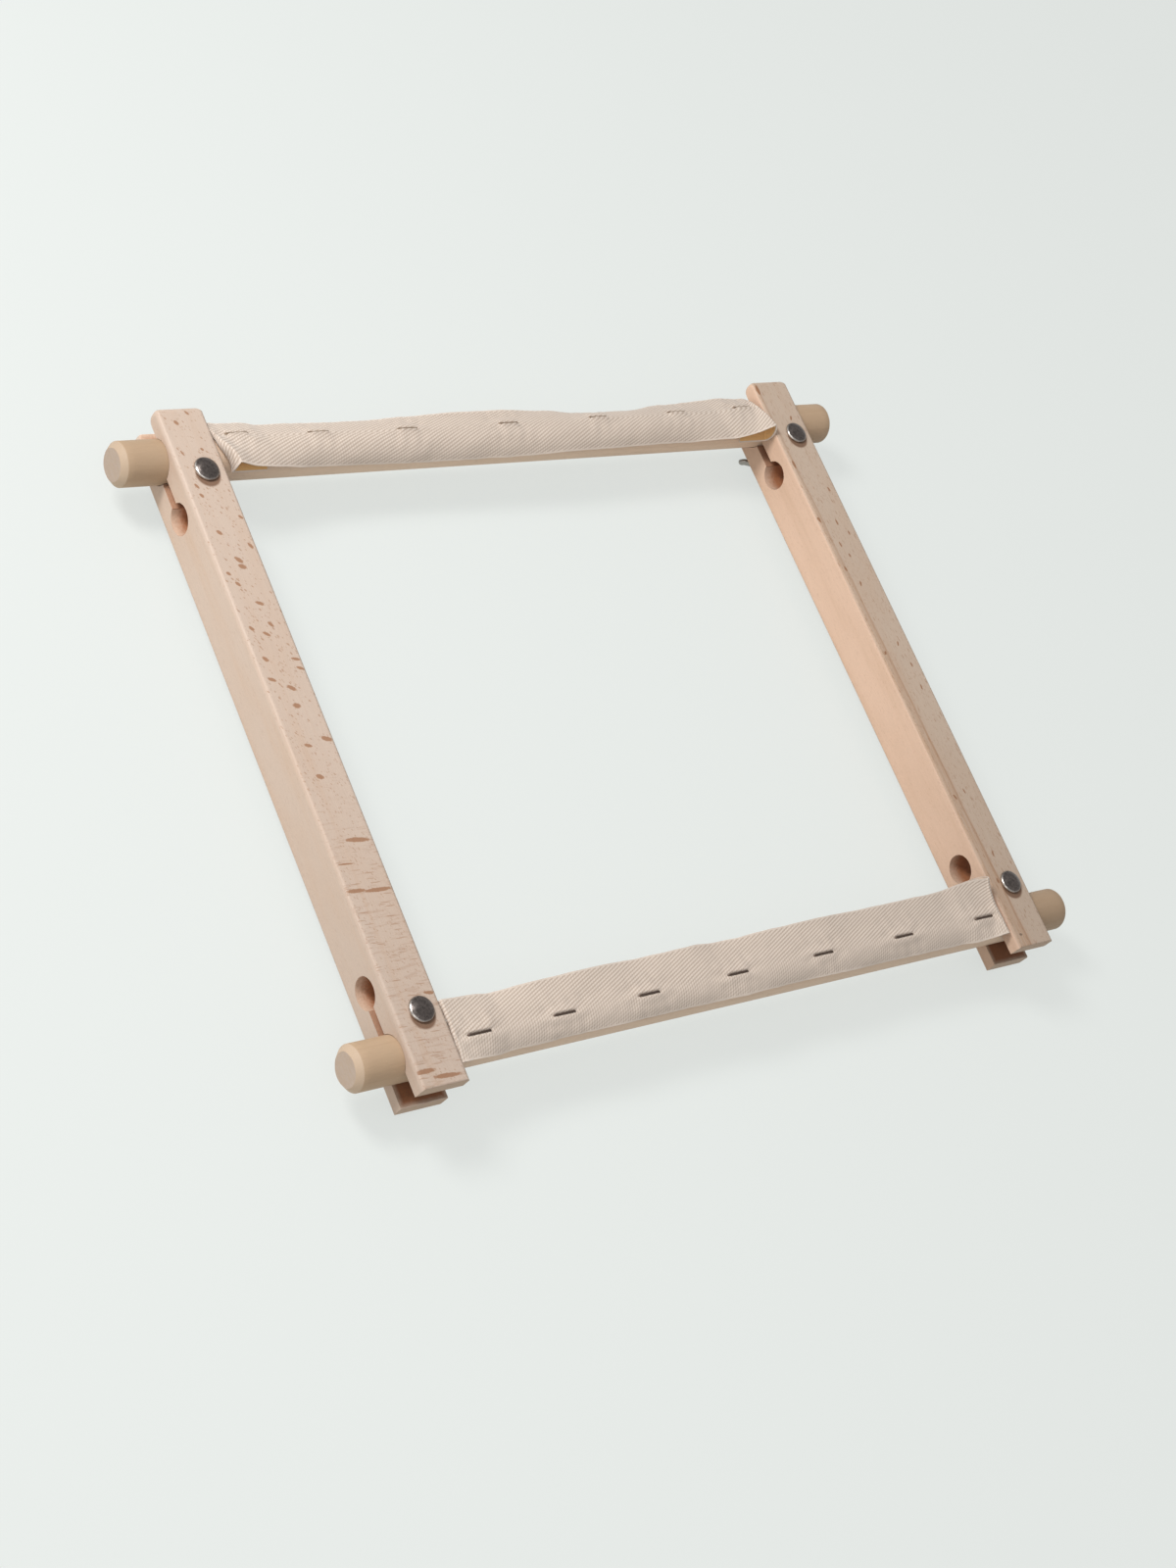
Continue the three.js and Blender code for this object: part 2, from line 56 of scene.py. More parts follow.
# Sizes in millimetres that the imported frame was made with
BAR_LENGTH = 304.8
BAR_WIDTH = 22.0
BAR_HEIGHT = 25.4
BAR_MIDDLE_Z = 21.1
BARS_SHIFT = -1.4
LEFT_BAR_X = -164.8
RIGHT_BAR_X = 162.0
ROLLER_Y = 134.2
ROLLER_RADIUS = 9.525
ROLLER_LENGTH = 393.0
ROLLER_CHAMFER = 2.4
BOLT_Y = 121.475
BOLT_SHIFT = 1.4
BOLT_LENGTH = 34.0
BOLT_RADIUS = 2.4
BOLT_TIP_CHAMFER = 0.6
HEAD_RADIUS = 5.5
HEAD_HEIGHT = 2.6
HEAD_RIM = 0.5
NECK_SIDE = 4.8
NECK_DEPTH = 2.6
RELIEF_REACH = 99.0
SLOT_FROM = 111.0
SLOT_TO = 127.0
CUT_HALF_HEIGHT = 9.9
SLOT_HALF = 2.0
TAPE_LENGTH = 302.2
TAPE_WIDTH = 25.4
TAPE_OUTER = 9.5
TAPE_HEIGHT = 0.7
LAYER_STEP = 1.1
HEM_LENGTH = 18.0
HEM_RELEASE = 9.0
PUFF_HOLD = 0.7
STAPLE_COUNT = 7
STAPLE_INSET = 11.0
CROWN_LENGTH = 11.4

CORNERS = [("top", "left"), ("top", "right"), ("bottom", "left"), ("bottom", "right")]

# How each tape lies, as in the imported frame. Side tells which way its roller lies off the middle of the
# frame. Curl is 1 where the cloth follows the roller, line is the angle of the staple line at each staple,
# wander moves each staple and puff is the height of the hem's fold in layers. Trim is how far each end
# stops short at its outer and its inner edge, cut is where across the tape that changes and flare is how
# much wider the inner side gets at each end. Press is the share of the puff that is left at the outer edge,
# hem curl is the curl of the layer under the fold, and skew is how far that layer sticks out past the one
# over it. Lip is the rise of the cloth beside a staple, slit is how much of a staple it leaves to be seen,
# and sink is how far the staples went into the cloth. Rib and bead are the twill's lines in cycles per
# millimetre, along the tape and across it, and beady is how strongly the beads show at the left and at the
# right. The ribs give way to dots across the tape between dotted from and dotted to.
TAPES = {
    "bottom": {
        "side": -1,
        "line": [94, 92.5, 91.5, 90.5, 90, 91, 91.5],
        "wander": [0.006, -0.088, -0.156, -0.124, -0.081, -0.049, 0.011],
        "outer_curl": [0.1, 0.75, 0.9, 0.7, 0.95, 0.9, 0.6, 0.95, 0.7, 0.95, 0.85, 0.9, 0.1],
        "inner_curl": [0.12, 0.3, 0.1, -0.02, 0.12, 0.05, 0.22, 0.05, -0.06, 0.02, -0.05, -0.12, -0.36],
        "puff": [1.5, 3.8],
        "trim": [(-0.8, -0.6), (-1.0, 3.6)],
        "cut": (-16.0, 22.0),
        "flare": [0.0, 0.17],
        "press": [0.6, 0.6],
        "hem_curl": [0.2, -0.1],
        "skew": [0.0, 0.0],
        "lip": (0.35, 0.35),
        "slit": 11.4,
        "sink": 0.38,
        "rib": (0.33, -0.75),
        "bead": (0.8, -0.13),
        "beady": (0.5, 0.24),
        "dotted_from": 3.0,
        "dotted_to": -1.5,
    },
    "top": {
        "side": 1,
        "line": [63, 67, 72, 72, 67, 63, 66],
        "wander": [0.013, -0.131, -0.161, 0.015, 0.133, 0.15, 0.011],
        "outer_curl": [0.1, 0.2, 0.35, 0.45, 0.25, 0, 0, 0.3, 0.8, 0.75, 0.3, 0.05, 0.42],
        "inner_curl": [0.35, 0.65, 0.9, 0.97, 0.95, 0.9, 0.85, 0.75, 0.8, 0.85, 0.9, 0.6, 0.17],
        "puff": [2.4, 3.2],
        "trim": [(-0.2, 4.4), (0.6, -0.8)],
        "cut": (3.0, 15.9),
        "flare": [0.0, 0.0],
        "press": [0.25, 0.2],
        "hem_curl": [0.86, 0.72],
        "skew": [1.0, 1.5],
        "lip": (0.3, 1.0),
        "slit": 8.8,
        "sink": 0.45,
        "rib": (0.33, 0.75),
        "bead": (0.8, 0.13),
        "beady": (0.62, 0.4),
        "dotted_from": 40.0,
        "dotted_to": 60.0,
    },
}

# Bold flecks on the top of each bar, in millimetres and degrees: their place across the bar from its
# middle line and along it, then length, width and lean away from the grain.
LEFT_FLECKS = [
    (2.8, 149.0, 2.6, 1.1, 35),
    (-3.8, 144.5, 2.6, 1.6, 40),
    (-6.5, 130.0, 2.6, 0.9, 20),
    (3.2, 131.2, 1.7, 1.2, 40),
    (-5.8, 114.0, 2.6, 1.3, 30),
    (-5.3, 109.5, 2.6, 1.4, 35),
    (8.5, 98.3, 2.4, 1.3, 45),
    (-3.9, 91.8, 2.8, 1.7, 40),
    (7.8, 84.7, 3.2, 1.5, 30),
    (0.0, 78.6, 4.0, 2.0, 45),
    (0.4, 75.5, 3.7, 2.2, 65),
    (-7.1, 72.8, 2.2, 1.4, 45),
    (-4.7, 67.8, 2.7, 1.5, 40),
    (1.7, 58.2, 4.0, 1.6, 65),
    (2.8, 48.3, 2.9, 1.5, 40),
    (-6.5, 47.3, 2.6, 1.5, 40),
    (-0.7, 44.2, 3.6, 1.4, 55),
    (-5.7, 33.2, 3.2, 1.8, 45),
    (7.8, 31.8, 4.0, 1.3, 75),
    (8.3, 27.5, 3.6, 1.3, 65),
    (-6.4, 23.9, 3.6, 1.6, 65),
    (0.8, 19.3, 4.4, 1.9, 55),
    (0.0, 11.4, 3.6, 2.3, 75),
    (7.4, -4.5, 5.0, 2.1, 68),
    (-2.0, -6.3, 3.5, 1.5, 72),
    (-2.2, -20.2, 3.4, 2.1, 65),
    (3.2, -48.8, 11.0, 2.0, 83),
    (-6.0, -69.6, 9.0, 1.7, 86),
    (3.6, -70.6, 13.0, 1.7, 88),
    (-6.0, -58.0, 7.0, 0.7, 86),
    (7.8, -115.5, 4.5, 1.4, 80),
    (-7.0, -145.4, 8.6, 2.0, 90),
    (1.6, -148.8, 12.0, 1.9, 86),
]
RIGHT_FLECKS = [
    (-9.3, 147.0, 5.5, 1.8, 0),
    (3.3, 130.2, 2.6, 1.1, -25),
    (-8.8, 104.5, 4.5, 1.4, 0),
    (5.8, 89.5, 2.4, 1.0, 15),
    (-9.5, 73.3, 3.4, 1.2, 15),
    (0.8, 71.2, 3.2, 1.0, 0),
    (5.3, 65.0, 2.4, 0.9, 0),
    (-3.5, 59.2, 3.0, 0.9, 5),
    (-1.0, 53.0, 2.2, 0.9, 10),
    (-7.5, 46.0, 2.8, 1.1, 10),
    (-2.5, 37.5, 2.9, 1.0, -15),
    (2.8, 4.2, 2.5, 0.9, -20),
    (-7.7, 0.2, 2.2, 1.2, -35),
    (5.0, -7.5, 2.5, 0.9, 5),
    (4.5, -19.5, 3.0, 0.9, -5),
    (0.2, -74.0, 2.6, 0.8, 10),
    (-7.0, -76.2, 2.8, 1.1, 20),
    (-0.5, -106.5, 3.2, 0.9, -5),
    (-5.3, -119.5, 2.6, 1.1, 0),
]
DARK_SPECK = (-6.8, -146.4, 1.7, 1.2, 75)

# Edge of the darker band along the right bar: its place across the bar and how much it leans
BAND_EDGE = 5.9
BAND_SLOPE = 0.0177

# How far the painted shadow round each bolt head lies off the middle of the bolt, and how light the left
# and the right end of each dowel are beside the rest, as painted light and shade
BOLT_SHADOW_SHIFT = (0.1, 2.5)
DOWEL_TONES = {"top": (0.9, 1.08), "bottom": (1.01, 0.9)}


# Settings that a user may change


def colour(name, description, red, green, blue):
    """A colour as it looks on the real frame, given from 0 to 255."""
    return FloatVectorProperty(
        name=name,
        description=description,
        subtype="COLOR_GAMMA",
        size=3,
        min=0.0,
        max=1.0,
        default=(red / 255, green / 255, blue / 255),
    )


def size(name, description, millimetres):
    """A length, given in millimetres and kept in metres."""
    return FloatProperty(
        name=name,
        description=description,
        unit="LENGTH",
        subtype="DISTANCE",
        default=millimetres * MM,
        min=0.0,
        precision=5,
    )


def share(name, description, value):
    """A number from 0 to 1."""
    return FloatProperty(
        name=name, description=description, subtype="FACTOR", default=value, min=0.0, max=1.0
    )


class BeechLooks(bpy.types.PropertyGroup):
    """Colours and edge size of the side bars."""

    # Top and flank colours differ partly by the grain and partly as painted light and shade, evening out
    # how the lamps light each face
    left_top: colour("Left top", "Top and underside of the left bar", 195, 175, 159)
    left_flank: colour("Left flank", "Upright faces of the left bar", 190, 169, 153)
    right_top: colour("Right top", "Top and underside of the right bar", 195, 174, 155)
    right_flank: colour("Right flank", "Upright faces of the right bar", 210, 178, 155)
    streak: colour("Streak", "Darker growth layers in the beech", 186, 152, 124)
    # Painted shadow that the bolt heads cast on the bar tops
    shadowed: colour("Pressed wood", "Wood that the bolt heads have pressed dark", 116, 84, 62)
    fleck: colour("Fleck", "Short brown ray flecks", 154, 113, 84)
    end_grain: colour("End grain", "Sawn ends of the bars", 184, 158, 134)
    drilled: colour("Drilled wood", "Mouths of the bores, slots and round holes", 208, 178, 155)
    # Painted shade deep inside the bores, slots and round holes
    hole_shade: colour("Browned wood", "Deep inside of the bores, slots and round holes", 168, 112, 76)
    arris: size("Arris", "Softening of the cut edges", 0.25)
    corner: size("Corner", "Round at the upright corners of the top ends", 2.6)


class DowelLooks(bpy.types.PropertyGroup):
    """Colours of the rollers."""

    # Lightened as painted light, lifting the tape's shadow off the dowel
    side: colour("Side", "Turned surface of the dowel under the tape", 216, 190, 166)
    handled: colour("Handled", "Ends of the dowel that a hand turns", 179, 152, 124)
    line: colour("Line", "Darker grain lines along the dowel", 166, 138, 110)
    end: colour("End", "Sawn end of the dowel", 172, 153, 138)
    chamfer: colour("Chamfer", "Cut round the end of the dowel", 186, 163, 140)


class TwillLooks(bpy.types.PropertyGroup):
    """Colours and thickness of the tapes."""

    crest: colour("Rib", "Top of the twill's ribs", 214, 200, 187)
    furrow: colour("Furrow", "Between the twill's ribs", 190, 173, 158)
    pit: colour("Pit", "Where the yarns cross", 156, 137, 122)
    # Warm colour painted in as bounce light in the shade inside the hems
    inside: colour("Inside", "Back of the cloth inside the hems", 214, 170, 114)
    thickness: size("Thickness", "Thickness of the cloth", 0.6)


class SteelLooks(bpy.types.PropertyGroup):
    """Colours of the metal fittings."""

    # Dark partly as a painted reflection of a dark surround
    bolt: colour("Bolt", "Polished top of the bolt heads", 112, 104, 100)
    # Rubbed rim, also used for the painted highlight on the rim's left side
    rim_and_highlight: colour("Bolt rim", "Rubbed rim of the bolt heads", 212, 206, 199)
    zinc: colour("Zinc", "Wing nuts and washers", 172, 168, 162)
    # Dark brown partly as painted shade of the groove the staple sits in
    staple: colour("Staple", "Staple wire", 112, 96, 86)
    worn_staple: colour("Worn staple", "Staple wire of the top roller, rubbed pale", 168, 147, 127)
    thread_pitch: size("Thread pitch", "From one thread of a bolt to the next", 1.058)


class StageLooks(bpy.types.PropertyGroup):
    """Floor and light."""

    floor: colour("Floor", "Plain pale floor", 230, 234, 231)
    sky: share("Sky", "Light that comes evenly from all round", 0.44)
    key: FloatProperty(name="Key lamp", description="Lamp behind and left", unit="POWER", default=12.0)
    fill: FloatProperty(name="Fill lamp", description="Lamp at the left", unit="POWER", default=3.5)


class FrameLooks(bpy.types.PropertyGroup):
    """Everything that the panel lists."""

    beech: PointerProperty(type=BeechLooks)
    dowel: PointerProperty(type=DowelLooks)
    twill: PointerProperty(type=TwillLooks)
    steel: PointerProperty(type=SteelLooks)
    stage: PointerProperty(type=StageLooks)


# Materials


class Value:
    """One socket of a material. A sum written on it adds the nodes that work it out."""

    def __init__(self, recipe, socket):
        self.recipe = recipe
        self.socket = socket

    def __add__(self, other):
        return self.recipe.sum("ADD", self, other)

    __radd__ = __add__

    def __sub__(self, other):
        return self.recipe.sum("SUBTRACT", self, other)

    def __rsub__(self, other):
        return self.recipe.sum("SUBTRACT", other, self)

    def __mul__(self, other):
        return self.recipe.sum("MULTIPLY", self, other)

    __rmul__ = __mul__

    def __truediv__(self, other):
        return self.recipe.sum("DIVIDE", self, other)

    def __rtruediv__(self, other):
        return self.recipe.sum("DIVIDE", other, self)

    def __pow__(self, other):
        return self.recipe.sum("POWER", self, other)

    def __abs__(self):
        return self.recipe.sum("ABSOLUTE", self)


class Recipe:
    """The nodes of one material."""

    def __init__(self, name):
        self.material = bpy.data.materials.new(name)
        self.material.use_nodes = True
        self.tree = self.material.node_tree
        self.tree.nodes.clear()

    def node(self, kind, settings=None, inputs=None):
        """Adds a node, sets it up and then gives its sockets their values or links."""
        node = self.tree.nodes.new("ShaderNode" + kind)
        for name, value in (settings or {}).items():
            setattr(node, name, value)
        for name, value in (inputs or {}).items():
            if isinstance(value, Value):
                self.tree.links.new(value.socket, node.inputs[name])
            else:
                node.inputs[name].default_value = value
        return node

    def take(self, node, output=0):
        return Value(self, node.outputs[output])

    def sum(self, operation, *numbers):
        node = self.node("Math", {"operation": operation}, dict(enumerate(numbers)))
        return self.take(node)

    def sine(self, value):
        return self.sum("SINE", value)

    def lesser(self, first, second):
        return self.sum("MINIMUM", first, second)

    def greatest(self, first, *others):
        for other in others:
            first = self.sum("MAXIMUM", first, other)
        return first

    def smooth(self, value, low, high):
        """0 below low, 1 above high, and eased between them. Low may be the larger one."""
        if low > high:
            return 1 - self.smooth(value, high, low)
        settings = {"interpolation_type": "SMOOTHSTEP"}
        inputs = {"Value": value, "From Min": low, "From Max": high}
        return self.take(self.node("MapRange", settings, inputs))

    def axes(self, vector):
        node = self.node("SeparateXYZ", None, {0: vector})
        return [self.take(node, axis) for axis in range(3)]

    def point(self, x, y, z):
        return self.take(self.node("CombineXYZ", None, {0: x, 1: y, 2: z}))

    def position(self):
        """Where a point lies in the frame, in millimetres along each axis."""
        place = self.take(self.node("TexCoord"), "Object")
        return [part * TO_MM for part in self.axes(place)]

    def facing(self):
        """How squarely a face looks along each axis, from 0 to 1."""
        normal = self.take(self.node("TexCoord"), "Normal")
        return [abs(part) for part in self.axes(normal)]

    def mottle(self, x, y, z, detail=2.0, roughness=0.5, distortion=0.0):
        """Smooth noise from 0 to 1, about one blot to a unit of x, y and z."""
        inputs = {
            "Vector": self.point(x, y, z),
            "Scale": 1.0,
            "Detail": detail,
            "Roughness": roughness,
            "Distortion": distortion,
        }
        return self.take(self.node("TexNoise", None, inputs), 0)

    def cells(self, point):
        """Distance to the nearest of scattered points, and a random number for each of them."""
        inputs = {"Vector": point, "Scale": 1.0, "Randomness": 1.0}
        node = self.node("TexVoronoi", {"feature": "F1"}, inputs)
        lot = self.axes(self.take(node, 1))[0]
        return self.take(node, 0), lot

    def blend(self, amount, first, second):
        """One colour into another as amount goes from 0 to 1."""
        settings = {"data_type": "RGBA", "clamp_factor": True}
        node = self.node("Mix", settings, {0: amount, 6: first, 7: second})
        return self.take(node, 2)

    def coated(self, base, *coats):
        """A base colour under coats of other colours, each given as how much of it and the colour."""
        for amount, coat in coats:
            base = self.blend(amount, base, coat)
        return base

    def shaded(self, colour_value, light):
        """A colour made lighter or darker by a number, 1 leaving it as it is."""
        grey = self.point(light, light, light)
        settings = {"data_type": "RGBA", "blend_type": "MULTIPLY"}
        node = self.node("Mix", settings, {0: 1.0, 6: colour_value, 7: grey})
        return self.take(node, 2)

    def finish(self, base, roughness, height=None, depth=0.0, **constants):
        """Ends the recipe in a shader. Depth is how far height 1 stands over height 0, in metres."""
        inputs = {"Base Color": base, "Roughness": roughness}
        for name, value in constants.items():
            inputs[name.replace("_", " ").title().replace("Ior", "IOR")] = value
        if height is not None:
            bump = self.node("Bump", None, {"Strength": 1.0, "Distance": depth, "Height": height})
            inputs["Normal"] = self.take(bump)
        shader = self.node("BsdfPrincipled", None, inputs)
        self.node("OutputMaterial", None, {"Surface": self.take(shader)})
        return self.material


def paint(looks_colour):
    """A colour of the settings as a shader takes it."""
    return (*Color(looks_colour).from_srgb_to_scene_linear(), 1.0)


def spindles(recipe, across, along, width, length, lean, crowd, seed):
    """Short pointed flecks on a face: their mask, from coordinates in mm across and along the grain."""
    turn = math.radians(lean)
    run = along * math.cos(turn) - across * math.sin(turn)
    over = along * math.sin(turn) + across * math.cos(turn)
    wobble = recipe.mottle(across * 0.4, along * 0.25, seed, 1.0)
    spot = recipe.point(over / (1.9 * width) + wobble * 0.5, run / (1.9 * length), seed)
    distance, lot = recipe.cells(spot)
    sharp = 1 - recipe.smooth(distance, 0.2, 0.32)
    return sharp * recipe.smooth(lot, 1 - crowd, 1 - crowd + 0.05)


def marks(recipe, across, along, places):
    """Mask of flecks with ragged edges that lie at given places on the top of a bar."""
    ragged = recipe.mottle(across * 1.1, along * 1.1, 0.0, 2.0) * 0.7 - 0.35
    spot = recipe.point(across, along, 0.0)
    nearest = 9.0
    for place_across, place_along, length, width, lean in places:
        inputs = {
            "Vector": spot,
            "Location": (place_across, place_along, 0.0),
            "Rotation": (0.0, 0.0, math.radians(lean - 90)),
            "Scale": (length / 2, width / 2, 1.0),
        }
        turned = recipe.node("Mapping", {"vector_type": "TEXTURE"}, inputs)
        reach = recipe.node("VectorMath", {"operation": "LENGTH"}, {0: recipe.take(turned)})
        nearest = recipe.lesser(recipe.take(reach, 1), nearest)
    return 1 - recipe.smooth(nearest + ragged, 0.82, 1.18)


def beech(name, looks, side):
    """Beech of one side bar, from its place in the bar and the way each face looks."""
    recipe = Recipe(name)
    is_left = side == "left"
    x, along, z = recipe.position()
    facing_x, facing_y, facing_z = recipe.facing()
    across = x - (LEFT_BAR_X if is_left else RIGHT_BAR_X)
    up = z - BAR_MIDDLE_Z
    reach = abs(along)
    on_top = recipe.smooth(facing_z, 0.55, 0.85)
    on_flank = recipe.smooth(facing_x, 0.55, 0.85)
    on_end = recipe.smooth(facing_y, 0.7, 0.95)
    in_cut = (
        (1 - recipe.smooth(facing_x, 0.25, 0.6))
        * recipe.smooth(reach, RELIEF_REACH - 0.4, RELIEF_REACH + 0.4)
        * recipe.smooth(abs(up), CUT_HALF_HEIGHT + 0.3, CUT_HALF_HEIGHT)
        * recipe.smooth(reach, BAR_LENGTH / 2 - 0.2, BAR_LENGTH / 2 - 0.6)
    )
    streak = paint(looks.streak)
    fleck = paint(looks.fleck)
    hole_shade = paint(looks.hole_shade)

    # growth layers, clouds and fibres
    layers = recipe.mottle(across * 0.16, along * 0.007, up * 0.14, 4.0, 0.6, 0.3)
    clouds = recipe.mottle(across * 0.06, along * 0.02, up * 0.06 + 7, 2.0)
    fibres = recipe.mottle(across * 3.2, along * 0.16, up * 3.2, 3.0, 0.6)
    # top and flank colours: partly grain, partly painted light and shade for each face
    top_paint = paint(looks.left_top if is_left else looks.right_top)
    flank_paint = paint(looks.left_flank if is_left else looks.right_flank)
    base = recipe.coated(
        top_paint,
        (on_flank, flank_paint),
        (recipe.smooth(layers, 0.45, 0.75) * 0.32, streak),
        (recipe.smooth(clouds, 0.4, 0.8) * 0.22, streak),
    )
    if is_left:
        base = left_flecks(recipe, base, fleck, across, along, up, on_top)
    else:
        base = right_flecks(recipe, base, fleck, streak, across, along, on_top)
    side_dots = spindles(recipe, up, along, 0.3, 1.6, 0, 0.35, 8.0)

    # sawn ends
    rings = recipe.mottle(across * 0.35, 0.0, up * 0.9, 3.0, 0.6)
    pores = recipe.mottle(across * 5, along * 0.4, up * 5, 2.0)
    end_base = recipe.coated(
        paint(looks.end_grain),
        (recipe.smooth(rings, 0.4, 0.65) * 0.4, streak),
        (recipe.smooth(pores, 0.5, 0.7) * 0.4, fleck),
    )

    # bores, slots and round holes, with painted shade that darkens them the deeper they go, sooner at the
    # mouths of the lower end
    tool_marks = recipe.mottle(across * 1.2, along * 0.8, up * 0.8, 3.0)
    depth = recipe.lesser(BAR_WIDTH / 2 - abs(across), BAR_LENGTH / 2 - reach)
    low_mouth_shade = recipe.smooth(along, -ROLLER_Y + 6, -ROLLER_Y - 2)
    depth_shade = recipe.smooth(depth * (1 + 2 * low_mouth_shade) + 3 * tool_marks, 2.0, 9.0)
    slot_shade = (
        recipe.smooth(abs(up), SLOT_HALF + 0.7, SLOT_HALF + 0.3)
        * recipe.smooth(reach, SLOT_FROM, SLOT_FROM + 2)
        * recipe.smooth(reach, SLOT_TO, SLOT_TO - 2)
    )
    cut_base = recipe.coated(
        paint(looks.drilled),
        (depth_shade, hole_shade),
        (recipe.smooth(tool_marks, 0.4, 0.7) * 0.12, fleck),
        (slot_shade * 0.6, hole_shade),
    )
    # more painted shade at the lower end's mouths and in the slots
    cut_base = recipe.shaded(cut_base, 1 - 0.4 * low_mouth_shade - 0.12 * slot_shade)

    # painted shadow of the bolt heads on the bar tops, set a little towards each bar's lower end
    shift_across, shift_along = BOLT_SHADOW_SHIFT
    off_across = across - BOLT_SHIFT + shift_across
    from_bolts = [abs(along - end * BOLT_Y + shift_along) for end in (1, -1)]
    off_along = recipe.lesser(*from_bolts)
    from_bolt = (off_across * off_across + off_along * off_along) ** 0.5
    shadowed = recipe.smooth(from_bolt, 6.1, 5.0) * on_top
    base = recipe.coated(
        base,
        (side_dots * on_flank * 0.22, fleck),
        (on_end, end_base),
        (in_cut, cut_base),
        (shadowed * 0.9, paint(looks.shadowed)),
    )

    speckle = recipe.mottle(across * 2.2, along * 1.6, up * 2.2, 2.0, 0.7)
    # painted shade: each bar darker towards its lower end
    low_end_shade = 0.06 if is_left else 0.11
    light = 0.82 + 0.16 * fibres + 0.2 * speckle - low_end_shade * recipe.smooth(along, 0, -150)
    # the long arrises a little darker
    edge_across = recipe.smooth(abs(across), BAR_WIDTH / 2 - 1.4, BAR_WIDTH / 2 - 0.2)
    edge_up = recipe.smooth(abs(up), BAR_HEIGHT / 2 - 1.5, BAR_HEIGHT / 2 - 0.4)
    base = recipe.shaded(base, light - 0.07 * edge_across * edge_up)
    height = fibres * 0.5 + recipe.smooth(clouds, 0.3, 0.7) * 0.3 + in_cut * tool_marks * 1.5
    roughness = 0.5 + 0.12 * fibres + 0.15 * in_cut
    return recipe.finish(base, roughness, height, 0.00009, specular_ior_level=0.35)


def left_flecks(recipe, base, fleck, across, along, up, on_top):
    """The left bar's top: bold flecks, and curly figure towards its lower end."""
    low = recipe.smooth(along, 0, -70)
    curl = recipe.mottle(across * 0.12, along * 0.9, up * 0.12 + 3, 3.0, 0.6)
    bold = marks(recipe, across, along, LEFT_FLECKS)
    short = spindles(recipe, across, along, 0.7, 1.5, 34, 0.3, 6.0) * (1 - 0.8 * low)
    dots = spindles(recipe, across, along, 0.45, 1.0, 30, 0.5, 5.0)
    bars = spindles(recipe, across, along, 0.45, 4.5, 86, 0.4, 2.0) * low
    flecks = recipe.greatest(bold * 0.9, bars * 0.5, short * 0.6, dots * 0.45)
    curl_lines = recipe.smooth(curl, 0.52, 0.64) * low * on_top * 0.22
    return recipe.coated(base, (curl_lines, fleck), (flecks * on_top, fleck))


def right_flecks(recipe, base, fleck, streak, across, along, on_top):
    """The right bar's top: short flecks, a darker band along its inner side and one dark speck."""
    bold = marks(recipe, across, along, RIGHT_FLECKS)
    dashes = spindles(recipe, across, along, 0.5, 2.4, 8, 0.2, 3.0)
    hairs = spindles(recipe, across, along, 0.22, 2.4, 3, 0.5, 7.0)
    dots = spindles(recipe, across, along, 0.4, 0.9, 16, 0.3, 5.0)
    flecks = recipe.greatest(dashes * 0.6, dots * 0.45, hairs * 0.45, bold)
    wander = recipe.mottle(0.0, along * 0.03, 4.0, 2.0) * 2 - 1
    past_band = across + BAND_EDGE + along * BAND_SLOPE + wander
    band = recipe.smooth(past_band, 0.3, -0.3) * (0.55 + 0.45 * recipe.smooth(along, 150, -60))
    line = recipe.smooth(abs(past_band + 0.7), 0.9, 0.2) * (0.6 + 0.4 * recipe.smooth(along, 60, -80))
    grain = recipe.smooth(recipe.mottle(across * 1.4, along * 0.05, 2.0, 3.0), 0.42, 0.6)
    base = recipe.coated(
        base,
        (band * on_top * (0.35 + 0.4 * grain), streak),
        (line * on_top * 0.4, fleck),
        (flecks * on_top, fleck),
    )
    speck = marks(recipe, across, along, [DARK_SPECK])
    return recipe.shaded(base, 1 - 0.55 * speck * on_top)


def dowel_wood(name, looks, seed, tones):
    """Pale dowel with lines along it, a lighter chamfer and sawn ends."""
    recipe = Recipe(name)
    along, y, z = recipe.position()
    facing_x = recipe.facing()[0]
    line = paint(looks.line)
    chamfer = paint(looks.chamfer)
    on_end = recipe.smooth(facing_x, 0.9, 0.97)
    on_chamfer = recipe.smooth(facing_x, 0.3, 0.55) * (1 - on_end)
    stripes = recipe.mottle(along * 0.012, y * 0.42, z * 0.42 + seed, 4.0, 0.65)
    fibres = recipe.mottle(along * 0.22, y * 2.6, z * 2.6 + seed, 3.0, 0.6)
    clouds = recipe.mottle(along * 0.03, y * 0.1, z * 0.1 + seed + 5, 2.0)
    dashes = spindles(recipe, y + z, along, 0.18, 1.6, 0, 0.3, seed)
    growth = recipe.mottle(y * 0.2, z * 0.6, seed, 2.0, 0.5, 0.4)
    saw = recipe.mottle(y * 0.9 + z * 1.7, y * 0.3 - z * 0.15, seed + 2, 2.0)
    pores = recipe.mottle(y * 4, z * 4, seed, 2.0)
    end = recipe.coated(
        paint(looks.end),
        (recipe.smooth(growth, 0.45, 0.6) * 0.2, line),
        (recipe.smooth(saw, 0.45, 0.6) * 0.14, line),
        (recipe.smooth(pores, 0.5, 0.7) * 0.2, line),
    )
    base = recipe.coated(
        paint(looks.side),
        (recipe.smooth(abs(along), 150, 172), paint(looks.handled)),
        (recipe.smooth(stripes, 0.5, 0.75) * 0.35, line),
        (recipe.smooth(clouds, 0.5, 0.85) * 0.2, chamfer),
        (dashes * 0.35, line),
        (on_chamfer * 0.8, chamfer),
        (on_end, end),
    )
    # painted light and shade at each end of the dowel
    left_tone, right_tone = tones
    tone = 1 + (left_tone - 1) * recipe.smooth(along, -150, -175)
    tone = tone + (right_tone - 1) * recipe.smooth(along, 150, 175)
    base = recipe.shaded(base, (0.92 + 0.16 * fibres) * tone)
    height = fibres * 0.6 + stripes * 0.4 + on_end * saw * 0.7
    return recipe.finish(base, 0.52 + 0.14 * fibres, height, 0.0001, specular_ior_level=0.35)


